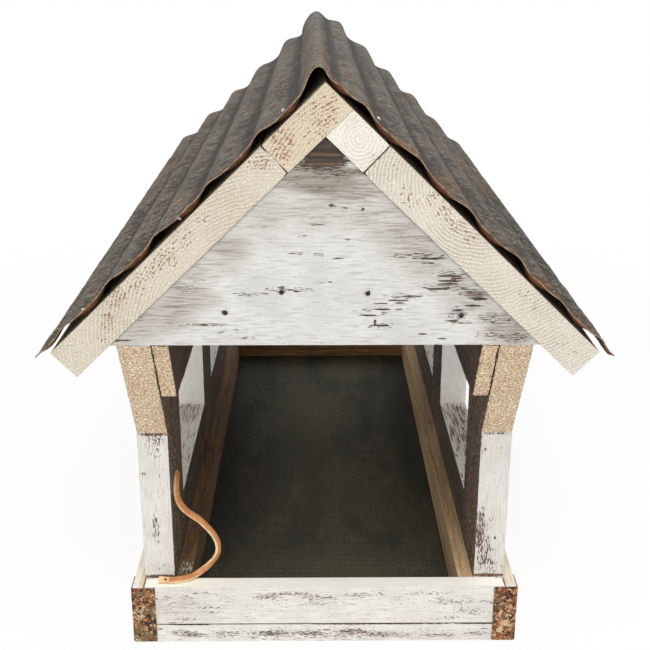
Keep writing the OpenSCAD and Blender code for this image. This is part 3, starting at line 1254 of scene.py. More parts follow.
@dataclass
class Tray:
    """Base strips, rails, screen floor and corner straps.

    Attributes:
        thread: Distance from one wire of the screen to the next. The real one's is
            about 1.4, which is too fine to show.
        wire: Thickness of a wire.
        joint: Height of the joint between a rail and its base strip.
        corner: Distance from the middle past which the rim's corners are torn.
        rim: Height above which they are torn.
        under: Finish of the boards' undersides.
    """

    thread: float = 2.0
    wire: float = 0.55
    joint: float = 15.5
    corner: float = 137.0
    rim: float = 46.0
    under: SawnWood = SawnWood(
        "sawn_pine_underside", "#C9B99A", "#A8957A", "#7A5A38", spots=0.2, rough_cut=0.5
    )

    def end_boards(self) -> list[bpy.types.Object]:
        """Builds the front and back rails and the base strips under them.

        Returns:
            The boards.
        """
        marks = (
            # On the rail: x, z, reach across and up, chips, and any thin.
            (-28, 43.5, 26, 2.6, 1.5), (-44, 40.5, 15, 3.5, 1.2), (-5, 40, 20, 3.5, 1.1),
            (-8, 34.5, 14, 3, 0.6), (-95, 44.5, 16, 2.4, 0.9), (-112, 40.5, 20, 2.6, 0.6),
            (-108, 35.5, 22, 3, 0.5), (-92, 31, 28, 2.6, 0.8), (-86, 27, 12, 2.2, 1.0),
            (-110, 20.8, 16, 2, 1.1), (-118, 17.6, 12, 1.6, 1.0), (30, 42.5, 26, 2.6, 0.8),
            (80, 43.5, 20, 2.6, 0.8), (98, 35, 24, 4, 0.7), (114, 27, 20, 6, 0.75),
            (100, 21, 22, 2.6, 0.75), (126, 36, 7, 2.2, 0.9),
            # On the base strip.
            (-110, 8.5, 18, 3.8, 1.5), (-102, 5.4, 18, 2.6, 1.3), (-76, 7.6, 15, 3.6, 0.8),
            (-42, 7.6, 20, 3.8, 1.2), (-12, 7.4, 16, 3.2, 1.4), (22, 9, 17, 3.8, 1.5),
            (40, 6, 14, 3, 1.0), (1, 10.4, 6, 0.9, 3.0), (92, 4.8, 20, 2, 1.0),
            (120, 6.4, 12, 3, 1.1), (126, 10.8, 6, 0.9, 2.2), (0, 6, 150, 8, 0.8),
            (10, 38, 140, 11, 0.3),
            # End splits.
            (-131, 39.5, 2.6, 0.7, 4.0), (-129, 11.8, 3.6, 0.9, 4.0), (130, 34.5, 2.2, 0.7, 4.0),
            # Thin wash, and the joint line.
            (52, 6, 18, 5, 0, 0.9), (-106, 15.5, 26, 0.7, 3.2), (-112, 34, 50, 22, 0.1, 0.35),
            (110, 4, 60, 10, 0, 0.3), (40, 15.5, 80, 0.7, 3.0), (126, 15.5, 30, 0.7, 3.0),
        )
        wash = Whitewash(
            "brushed_whitewash_rail", grain=Axis.ACROSS, wood="#4A3830", bark="#80594A", chips=0.42,
            thin=0.12, dash=(3.2, 0.56), through="#A39A8E", patches=front_places(marks),
        )
        bare = SawnWood(
            "planed_pine_rail_top", "#FFFEF6", "#FDF1D8", "#E6CFA6", spots=0.04, rough_cut=0.06
        )
        inner = OldBoard("aged_board_end_rail", Axis.ACROSS, "#6A4A2E", "#946C44", "#B68A5A")
        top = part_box("front_rail")[1]

        def pick(normal: Vector, place: Vector) -> int:
            """Bare top and underside, brown inside, white outside.

            Args:
                normal: The way that a face looks.
                place: Its middle, in metres.

            Returns:
                The number of its finish.
            """
            if looks_up(-normal):
                return 2
            down, inset = top.z - place.z, top.x - abs(place.x)
            if inset < 0.9 * MM and down < 12 * MM and abs(normal.y) < 0.7:
                return 3
            if looks_up(normal) and down < 2 * MM:
                return 1
            return 3 if looks_inside(normal.y, place.y) else 0

        made = []
        for index, row in enumerate(("front", "back")):
            for part, width_axis in (("base_strip", Y_AXIS), ("rail", Z_AXIS)):
                made.append(
                    Board(
                        f"{row}_{part}", "whitewashed_wood", [wash, bare, self.under, inner],
                        X_AXIS, width_axis, (5, 4), arris=0.1, wear=0.1, ragged=0.4,
                        fray=self.corner_fray, pick=pick, seed=1.0 + index,
                    ).build()
                )
        return made

    def corner_fray(self, place: Vector) -> float:
        """Opens the rim's corner joints, and leaves the long joint tight.

        Args:
            place: A place on a board, in metres.

        Returns:
            How many times more it is torn.
        """
        if abs(place.z - self.joint * MM) < 2 * MM:
            return 0.15
        return 7.0 if abs(place.x) > self.corner * MM and place.z > self.rim * MM else 0.8

    def side_boards(self) -> list[bpy.types.Object]:
        """Builds the side rails, the inner rails and the base strips under them.

        Returns:
            The boards.
        """
        wash = Whitewash("brushed_whitewash_side", grain=Axis.ALONG, chips=0.4, dash=(6.0, 1.1))
        top = Whitewash(
            "thin_whitewash_rail_top", grain=Axis.ALONG, paint="#F6F3EC", shade="#DDD3C0",
            chips=0.45, thin=0.15, dash=(9.0, 1.2), through="#EAD8B2",
            patches=worn_places((-141, 0, 50, 4, FAR, 8, 0, 2.6), (144, 0, 50, 7, FAR, 8, 0, 1.3)),
        )
        browns = {
            "left": ("#644A34", "#846444", "#A07E54"), "right": ("#B48E66", "#D6B488", "#ECD0A4"),
        }

        def pick(normal: Vector, place: Vector) -> int:
            """Bare underside, thin wash on top, white outside."""
            on_top = looks_up(normal) and place.z > 40 * MM
            return 2 if looks_up(-normal) else int(on_top)

        made = []
        for index, (side, tones) in enumerate(browns.items()):
            inner = OldBoard(
                f"aged_board_{side}_inner_rail", Axis.ALONG, *tones,
                patches=worn_places((-110, -272, 50, 10, 20, 4, 0, 0.7)),
            )
            plans = (
                ("base_strip", "whitewashed_wood", [wash, wash, self.under], X_AXIS, pick),
                ("side_rail", "whitewashed_wood", [wash, top, self.under], Z_AXIS, pick),
                ("inner_rail", "dark_stained_wood", [inner], Z_AXIS, None),
            )
            for part, slot, finishes, width_axis, picked in plans:
                made.append(
                    Board(
                        f"{side}_{part}", slot, finishes, Y_AXIS, width_axis, (9, 4.5), arris=0.5,
                        pick=picked, seed=5.0 + index,
                    ).build()
                )
        return made

    def screen(self) -> bpy.types.Object:
        """Weaves the screen: a dark cloth with its wires standing out.

        Returns:
            The screen.
        """
        low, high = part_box("screen_floor")
        mesh = bmesh.new()
        inset = 0.8 * MM
        cloth_top = high.z - 0.35 * MM
        size = (high.x - low.x - 2 * inset, high.y - low.y - 2 * inset, cloth_top - low.z)
        middle = ((low.x + high.x) / 2, (low.y + high.y) / 2, (cloth_top + low.z) / 2)
        bmesh.ops.create_cube(
            mesh, size=1.0, matrix=Matrix.Translation(middle) @ Matrix.Diagonal((*size, 1))
        )
        bmesh.ops.subdivide_edges(mesh, edges=mesh.edges[:], cuts=6, use_grid_fill=True)
        for axis, span in ((0, size[1]), (1, size[0])):
            reach = size[axis]
            turn = Matrix.Rotation(math.radians(90), 4, "X" if axis == 0 else "Y")
            count = int(reach / (self.thread * MM))
            for i in range(count):
                place = [middle[0], middle[1], cloth_top]
                place[axis] = middle[axis] + (i - (count - 1) / 2) * self.thread * MM
                place[2] += (0.05 if axis == 0 else 0.12) * MM
                made = bmesh.ops.create_cone(
                    mesh, cap_ends=False, segments=4, radius1=self.wire / 2 * MM,
                    radius2=self.wire / 2 * MM, depth=span, matrix=Matrix.Translation(place) @ turn,
                )
                for face in {f for v in made["verts"] for f in v.link_faces}:
                    face.material_index = 1
        bmesh.ops.recalc_face_normals(mesh, faces=mesh.faces)
        # The first two patches paint shade along the side rails.
        stains_and_shade = worn_places(
            (104, 60, 17, 40, 270, FAR, 1.0), (-106, 20, 17, 34, 300, FAR, 0.7),
            (20, -100, 17, 60, 70, FAR, 0.2), (-10, -40, 17, 80, 190, FAR, 0, 0.3),
            (0, -236, 17, 120, 70, FAR, 0, 0.7), (-16, 100, 17, 66, 150, FAR, 0, 0.55),
            (30, 236, 17, 50, 50, FAR, 0, 0.7),
        )
        ground = ScreenCloth("coated_wire_cloth_ground", tone="#272517", dust="#3A3722")
        wire = ScreenCloth("coated_wire_cloth_wire", tone="#383521", dust="#5B573A", patches=stains_and_shade)
        piece = finish_piece(mesh, "woven_screen", [ground, wire])
        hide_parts("screen_floor")
        return piece

    def straps(self) -> list[bpy.types.Object]:
        """Wears the four tin straps at the corners.

        Returns:
            The straps.
        """
        tin = RustyTin(
            "rusted_tin_plate",
            patches=worn_places(
                (-146, 0, 26, 14, FAR, 12, 0.12, 0.05), (-146, 0, 3, 20, FAR, 13, 0, 0.2),
                (-136, 0, 30, 8, FAR, 14, 0, 0.1), (136, 0, 38, 8, FAR, 12, 0, 0.08),
                (144, 0, 20, 14, FAR, 24, 0.1),
            ),
        )
        made = []
        for index, node in enumerate(
            ("front_left_strap", "front_right_strap", "back_left_strap", "back_right_strap")
        ):
            made.append(
                Board(
                    node, "rusty_tin", [tin], Z_AXIS, X_AXIS, (2.2, 2.2), arris=0.2, wear=0.3,
                    ragged=0.5, lump=3.0, seed=20.0 + index,
                ).build()
            )
        return made


# --- Walls --------------------------------------------------------------------------


@dataclass
class Walls:
    """Posts, side boards and top plates.

    Attributes:
        flare: Heights between which the end posts lean out.
        front: Distance from the middle to the end posts' faces.
        post_depth: How far a worn place on those faces goes in.
        proud: How far the boards between the end posts stand out over the rails.
    """

    flare: tuple[float, float] = (175.0, 265.0)
    front: float = 286.5
    post_depth: float = 12.0
    proud: float = 2.2

    def post_wash(self) -> Whitewash:
        """Gives the posts' finish, worn where the front ones are, with painted shadow lines on
        their fronts.

        Returns:
            The finish.
        """
        marks = (
            # x, z, reach across and up, chips, and any thin.
            (-127, 169, 12, 10, 1.3), (-127, 158, 10, 9, 0.8), (-130, 93, 4, 20, 1.3),
            (-127, 60, 12, 7, 0.9, 0.2), (-137, 141, 3, 2, 2.0), (120, 94, 6, 26, 1.9, 0.6),
            (124, 76, 9, 18, 1.2, 0.3), (127, 60, 16, 12, 1.2, 0.3), (127, 90, 16, 40, 0.35, 0.2),
            (118, 163, 4, 14, 0.8, 0.3), (132, 85, 1.5, 2, 3.0), (121, 161, 1.5, 2, 3.0),
            # Painted shadow lines: at the posts' feet above the rail, and just under the leaning
            # ends.
            (-128, 51.5, 22, 2.2, 5.0, 1.0), (128, 51.5, 22, 2.0, 5.0, 1.0),
            (-127, 174, 16, 2.2, 3.0, 1.0), (127, 174, 16, 1.6, 1.6, 1.0),
        )
        at_ends = (
            (x, end * self.front, z, wide, self.post_depth, high, *worn)
            for x, z, wide, high, *worn in marks
            for end in (-1, 1)
        )
        return Whitewash(
            "brushed_whitewash_post", grain=Axis.UPRIGHT, paint="#DEDBD5", shade="#B9B6B0",
            wood="#503A2E", bark="#845A44", chips=0.3, thin=0.12, dash=(3.8, 0.85),
            patches=worn_places(
                *at_ends, (-142, -250, 120, 6, 30, 50, 0.9), (142, -262, 90, 6, 26, 60, 0.9),
                (-142, 262, 100, 6, 26, 60, 0.9), (142, 250, 140, 6, 30, 50, 0.9),
                (0, 0, 130, FAR, 40, 90, 0.5),
            ),
        )

    def flare_fray(self, place: Vector) -> float:
        """Tears the sawn edges of the leaning ends more than the rest."""
        low, high = self.flare
        return 2.2 if low * MM < place.z < high * MM and abs(place.y) > 280 * MM else 1.0

    @staticmethod
    def outward(side: str, far: float) -> Vector:
        """Gives the way out of the feeder at a side, as long as far."""
        return Vector((-far if side == "left" else far, 0, 0))

    def posts(self) -> list[bpy.types.Object]:
        """Builds the six posts.

        Returns:
            The posts.
        """
        wash = self.post_wash()
        sheltered = Whitewash(
            "sheltered_whitewash_post", grain=Axis.UPRIGHT, paint="#FFFCF6", shade="#E8E4DC",
            chips=0.1, dash=(5.0, 1.0),
        )
        sawn = SawnWood("rough_sawn_pine_flare", pale="#E5D0B3", tan="#BC9B74", spots=0.2)
        low, high = self.flare
        made = []

        def pick(normal: Vector, place: Vector) -> int:
            """Sawn wood where the face leans out, old wood inside, white outside.

            Args:
                normal: The way that a face looks.
                place: Its middle, in metres.

            Returns:
                The number of its finish.
            """
            if abs(normal.y) > 0.5 and normal.z < -0.3:
                return 2
            if abs(normal.y) > 0.5 and abs(place.y) < 40 * MM:
                return 3
            return 1 if looks_inside(normal.x, place.x) else 0

        for row in ("front", "middle", "back"):
            for side, tones in (
                ("left", ("#352819", "#664F33", "#8E744E")),
                ("right", ("#32231A", "#62462F", "#8C7054")),
            ):
                dark = OldBoard(f"aged_board_{side}_post", Axis.UPRIGHT, *tones, fleck=0.46)
                fine = [(Z_AXIS, low - 6, high, 2.2)] if row != "middle" else []
                made.append(
                    Board(
                        f"{row}_{side}_post", "whitewashed_wood", [wash, dark, sawn, sheltered],
                        Z_AXIS, X_AXIS, (7, 3), fray=self.flare_fray, lump=2.2, pick=pick,
                        extra=fine, proud=self.outward(side, 0.0 if fine else self.proud),
                        seed=30.0 + len(made),
                    ).build()
                )
        return made

    def side_boards(self) -> list[bpy.types.Object]:
        """Builds the four boards between the posts.

        Returns:
            The boards.
        """
        wash = Whitewash(
            "brushed_whitewash_side_board", grain=Axis.ALONG, chips=0.8, dash=(6.0, 1.1)
        )
        sill = Whitewash(
            "rubbed_whitewash_sill", grain=Axis.ALONG, paint="#FFFCF4", shade="#E6E0D4",
            wood="#7A6650", bark="#A8937A", chips=0.9, thin=0.25, dash=(24.0, 1.5),
            patches=worn_places(
                (130, -90, 89, 16, 90, FAR, 1.2, 0.5), (-130, -50, 89, 16, 36, FAR, 0.6, 0.9),
            ),
        )
        dark = OldBoard("aged_board_side", Axis.ALONG, "#3A2F24", "#5C4E3E", "#7C6E5C")
        made = []

        def pick(normal: Vector, place: Vector) -> int:
            """Old wood inside, rubbed wash on top, white outside."""
            return 2 if looks_up(normal) else int(looks_inside(normal.x, place.x))

        for end in ("front", "back"):
            for side in ("left", "right"):
                made.append(
                    Board(
                        f"{end}_{side}_side_board", "whitewashed_wood", [wash, dark, sill], Y_AXIS,
                        Z_AXIS, (9, 6), pick=pick, proud=self.outward(side, self.proud),
                        seed=40.0 + len(made),
                    ).build()
                )
        return made

    def top_plates(self) -> list[bpy.types.Object]:
        """Builds the two plates under the roof.

        Returns:
            The plates.
        """
        dark = OldBoard("aged_board_plate", Axis.ALONG, "#2E241B", "#4E3C2A", "#6E5840")
        sawn = SawnWood(
            "rough_sawn_pine_plate_end", "#E4CEB0", "#C09C74", "#8C5E38", "#96693F", 0.3
        )
        made = []

        def pick(normal: Vector, place: Vector) -> int:
            """Sawn wood at the leaning ends, old wood elsewhere."""
            end = abs(normal.y) > 0.5 and normal.z < 0.2 and abs(place.y) > 290 * MM
            return 1 if end else 0

        for side in ("left", "right"):
            made.append(
                Board(
                    f"{side}_top_plate", "dark_stained_wood", [dark, sawn], Y_AXIS, Z_AXIS, (9, 3),
                    fray=self.flare_fray, lump=2.2, pick=pick,
                    extra=[
                        (Z_AXIS, 208, self.flare[1], 2.2), (Y_AXIS, -345, -296, 4.0),
                        (Y_AXIS, 296, 345, 4.0),
                    ],
                    seed=50.0 + len(made),
                ).build()
            )
        return made


# --- Gables and roof ----------------------------------------------------------------


@dataclass
class Gables:
    """The two gable boards and the holes of their nails.

    Attributes:
        face: Distance from the middle to a gable's face.
        hole: Radius and depth of a nail's hole.
        nails: Places of the front gable's nails, across and up.
    """

    face: float = 341.0
    hole: tuple[float, float] = (2.1, 2.2)
    nails: tuple[tuple[float, float], ...] = (
        (-66.7, 287.6), (-29.0, 301.9), (28.0, 301.0), (90.4, 285.2),
    )

    def wash(self) -> Whitewash:
        """Gives the gables' finish, with its worn places and its painted shade under the roof.

        Returns:
            The finish.
        """
        marks = (
            # x, z, reach across and up, chips, and any thin: first the painted shade under the
            # ridge and along the roof boards' lower edges.
            (0, 402, 18, 18, 5.0, 3.0), (0, 391, 24, 8, 3.2, 2.6), (-8, 386, 26, 5, 1.6, 2.2),
            (12, 382, 28, 4, 1.2, 2.2), (-4, 378, 44, 12, 0.5, 1.8), (14, 370, 34, 9, 0.2, 0.9),
            (0, 362, 54, 24, 0.1, 0.6), (-42, 352, 30, 18, 0.1, 0.45), (-72, 326, 30, 18, 0.2, 0.6),
            (-92, 310, 26, 15, 0.5, 0.6), (-92, 298, 30, 14, 0.2, 0.9),
            (-112, 284, 32, 16, 0.1, 1.1), (-134, 270, 26, 12, 0.1, 0.8),
            (-62, 334, 22, 12, 0.2, 0.6), (44, 350, 34, 22, 0.2, 0.7), (70, 326, 36, 22, 0.25, 0.7),
            (100, 300, 38, 22, 0.25, 0.8), (124, 276, 30, 18, 0.3, 1.0),
            (56, 336, 30, 16, 0.1, 0.4),
            # Faint dashes over the middle.
            (4, 360.4, 4, 2.0, 2.2), (13, 359, 4, 1.4, 1.6), (24, 358, 1.6, 1.4, 3.0),
            (-34, 346, 16, 2.4, 0.9), (-5, 347.8, 9, 1.0, 2.0), (-15, 340, 5, 2.4, 1.3),
            (14, 338, 4, 1.2, 1.6), (-19, 328.6, 8, 1.8, 1.5), (-4, 328, 6, 2.0, 1.6),
            (7, 325.4, 9, 1.0, 1.8),
            # Long band that rises past the second nail.
            (-48, 301, 20, 3, 1.3), (-26, 304.5, 28, 3.4, 1.3), (0, 309, 18, 2.2, 1.0),
            (-14, 303, 18, 2, 0.8),
            # Right-hand side, under the roof: swarms, then single strokes.
            (60, 327, 28, 4, 1.1), (84, 314, 20, 6, 1.3, 0.1), (78, 306, 26, 6, 1.2, 0.1),
            (98, 301, 14, 4, 1.8, 0.3), (70, 325, 11, 0.9, 4.5), (67, 322, 6, 0.7, 3.5),
            (82, 313.2, 10, 0.9, 4.5), (86, 311.4, 6, 0.9, 4.5), (82, 309.8, 10, 0.9, 4.5),
            (82, 307.8, 6, 0.9, 4.0), (74, 304.3, 10, 0.9, 4.5),
            # Curved band between the right nails.
            (50, 299, 22, 5, 1.1), (30, 288, 20, 7, 1.05), (36, 279, 16, 5, 1.0),
            (58, 299.4, 10, 0.8, 4.0), (48, 296.4, 9, 0.8, 4.0), (37, 294.3, 7, 0.8, 4.0),
            (49, 294.6, 6, 0.7, 3.5), (38.5, 290.2, 8, 0.9, 4.5), (49, 290.2, 4, 0.7, 3.5),
            (29, 286, 8, 0.8, 3.8), (33, 281.4, 1.3, 3.0, 4.0), (38, 278.8, 8, 0.9, 4.0),
            (65, 272.8, 4.5, 0.9, 4.5), (2, 287, 14, 2, 0.6),
            # Round the right nail and down to the corner.
            (86, 285, 12, 11, 1.2), (98, 292.7, 8, 1.0, 4.5), (101, 297.4, 9, 1.6, 3.5, 0.2),
            (88, 289.6, 5, 0.9, 4.0), (85, 282, 4, 1.0, 4.0), (94, 280.6, 8, 0.9, 3.0),
            (112, 284, 20, 6, 1.2, 0.2), (78, 269.4, 5, 0.8, 3.0), (128, 270, 14, 5, 1.4, 0.3),
            (110, 272, 16, 5, 1.0, 0.2),
            # Along the bottom on the left.
            (-78, 279.6, 30, 1.5, 2.0), (-54, 275.5, 22, 3.2, 0.8), (-72, 273.5, 12, 3, 0.8),
            (-50, 270.4, 12, 1.6, 1.1), (-136, 268.6, 9, 1.2, 3.4), (0, 268, 150, 5, 0.2, 0.1),
        )
        return Whitewash(
            "brushed_whitewash_gable", grain=Axis.ACROSS, paint="#D6D5D0", shade="#ABA9A3",
            wood="#251B15", bark="#604836", through="#968D82", chips=0.14, thin=0.12,
            dash=(5.2, 0.56), patches=front_places(marks),
        )

    def build(self) -> list[bpy.types.Object]:
        """Builds the gables and sinks the front one's nail holes.

        Returns:
            The gables.
        """
        wash = self.wash()
        dark = OldBoard("aged_board_gable_back", Axis.ACROSS)
        made = []

        def pick(normal: Vector, place: Vector) -> int:
            """White outside, old wood inside."""
            outward = normal.y * (1 if place.y > 0 else -1)
            return 0 if outward > -0.3 else 1

        for end, node in ((-1, "front_gable"), (1, "back_gable")):
            holes = [(x, -self.face, z, *self.hole) for x, z in self.nails] if end < 0 else []
            made.append(
                Board(
                    node, "whitewashed_wood", [wash, dark], X_AXIS, Z_AXIS, (6, 5), arris=0.15,
                    wear=0.2, ragged=0.3, pick=pick, holes=holes, seed=60.0 + end,
                ).build()
            )
        return made


@dataclass
class RoofBoards:
    """The four roof boards.

    Attributes:
        slope: The roof's slope in degrees.
        peak: Height of the boards' peak.
        front: Distance from the middle to the boards' ends.
        joint: Distance down the slope from the peak to the lower boards.
    """

    slope: float = 44.0
    peak: float = 438.0
    front: float = 342.5
    joint: float = 56.0

    def on_slope(self, side: int, down: float, out: float) -> tuple[float, float]:
        """Gives the place across and up of a point on a slope, in millimetres.

        Args:
            side: -1 for the left slope and 1 for the right one.
            down: Its distance down the slope from the peak.
            out: Its height over the boards.

        Returns:
            The place across and the place up.
        """
        a = math.radians(self.slope)
        x = side * (down * math.cos(a) + out * math.sin(a))
        return x, self.peak - down * math.sin(a) + out * math.cos(a)

    def from_slope(self, side: int, place: Vector) -> tuple[float, float]:
        """Gives the distance down the slope and out from the boards, in millimetres.

        Args:
            side: -1 for the left slope and 1 for the right one.
            place: The place, in metres.

        Returns:
            The distance down and the height over the boards.
        """
        a = math.radians(self.slope)
        across, up = side * place.x / MM, place.z / MM - self.peak
        return across * math.cos(a) - up * math.sin(a), across * math.sin(a) + up * math.cos(a)

    def pits(self, side: int, marks: Iterable[tuple]) -> tuple[Patch, ...]:
        """Places pits and dirt on the ends of a board.

        Args:
            side: -1 for the left slope and 1 for the right one.
            marks: For each, down the slope, out from the boards, radius, and wear.

        Returns:
            The patches.
        """
        return front_places(
            (*self.on_slope(side, down, out), reach, reach, *worn)
            for down, out, reach, *worn in marks
        )

    def ends(self) -> dict[str, EndGrain]:
        """Gives each board's end grain, by the board's name.

        Returns:
            The finishes.
        """
        plans = {
            "left_lower": (
                (-1, 140, -100), ("#CFC6B6", "#ADA089"),
                (
                    (66, -5, 10, 1.9), (62, -12, 9, 1.4), (118, -8, 13, 1.1), (135, -6, 14, 1.5),
                    (152, -8, 13, 1.6), (168, -7, 14, 1.5), (184, -9, 13, 1.5), (196, -4, 10, 1.6),
                    (212, -12, 10, 1.4), (222, -17, 8, 1.3), (240, -8, 12, 0.8),
                    (150, -18, 12, 0.6), (205, -3, 20, 0.8, 0.15),
                ),
            ),
            "left_upper": (
                (-1, 30, -70), ("#D2C4AD", "#B09873"),
                (
                    (6, -8, 14, 1.3, 0.1), (46, -6, 12, 1.7, 0.1), (50, -14, 9, 1.6),
                    (28, -9, 26, 1.2, 0.1), (16, -16, 14, 1.1),
                ),
            ),
            "right_lower": (
                (1, 118, 25), ("#D6CFC3", "#AC9F8B"),
                (
                    (100, -4, 9, 1.8), (112, -6, 9, 2.1), (124, -6, 9, 2.0), (136, -6, 8, 1.6),
                    (84, -13, 8, 1.7), (92, -17, 8, 1.5), (66, -8, 8, 0.8), (188, -8, 9, 1.4),
                    (200, -9, 8, 1.3), (232, -11, 10, 1.2), (244, -13, 7, 0.9),
                ),
            ),
            "right_upper": (
                (1, 40, -10), ("#E6E1D8", "#C8C0B2"),
                ((28, -6, 8, 0.3, 0.1), (54, -12, 6, 1.0, 0.1)),
            ),
        }
        made = {}
        for name, ((side, down, out), (pale, cream), marks) in plans.items():
            made[name] = EndGrain(
                f"sawn_pine_end_{name}", centre=self.on_slope(side, down, out), pale=pale,
                cream=cream, patches=self.pits(side, marks),
            )
        return made

    def build(self) -> list[bpy.types.Object]:
        """Builds the boards with their own rings.

        Returns:
            The boards.
        """
        made = []
        a = math.radians(self.slope)
        flat = SawnWood(
            "sawn_pine_roof_face", "#D8CAB0", "#BBA685", "#8A6138", spots=0.2, rough_cut=0.5
        )
        dark = OldBoard("aged_board_roof_underside_and_joint_shade", Axis.ALONG, "#3A2E22", "#5A4936")

        def pick(normal: Vector, place: Vector) -> int:
            """End grain at the ends, clean above, dark below, and the dark finish in the joint as
            painted shade.

            Args:
                normal: The way that a face looks.
                place: Its middle, in metres.

            Returns:
                The number of its finish.
            """
            down, _ = self.from_slope(1 if place.x > 0 else -1, place)
            # Faces in the joint between the boards take the dark finish as painted shade.
            if abs(down - self.joint) < 1 and abs(normal.y) < 0.98:
                return 2
            if abs(normal.y) > 0.6:
                return 0
            return 1 if normal.z > -0.3 else 2

        for name, ends in self.ends().items():
            side = -1 if name.startswith("left") else 1
            lower = name.endswith("lower")
            across = Vector((side * math.cos(a), 0, -math.sin(a)))

            def fray(place: Vector, side: int = side, lower: bool = lower) -> float:
                """Opens the joint to the lower board raggedly, and little else.

                Args:
                    place: A place on the board, in metres.
                    side: The board's side.
                    lower: Whether it is a lower board.

                Returns:
                    How many times more it is torn.
                """
                down, out = self.from_slope(side, place)
                if not lower or abs(down - self.joint) > 1.5:
                    return 0.4
                return 7.0 if side > 0 or out < -15 or out > -4 else 0.8

            made.append(
                Board(
                    f"{name}_roof_board", "roof_board_wood", [ends, flat, dark], Y_AXIS, across,
                    (22, 2.6), arris=0.12, wear=0.1, ragged=0.45, lump=2.4, fray=fray, pick=pick,
                    extra=[
                        (Y_AXIS, -self.front + 1.4, -self.front + 7.0, 1.8),
                        (Y_AXIS, self.front - 7.0, self.front - 1.4, 1.8),
                    ],
                    seed=70.0 + len(made),
                ).build()
            )
        return made


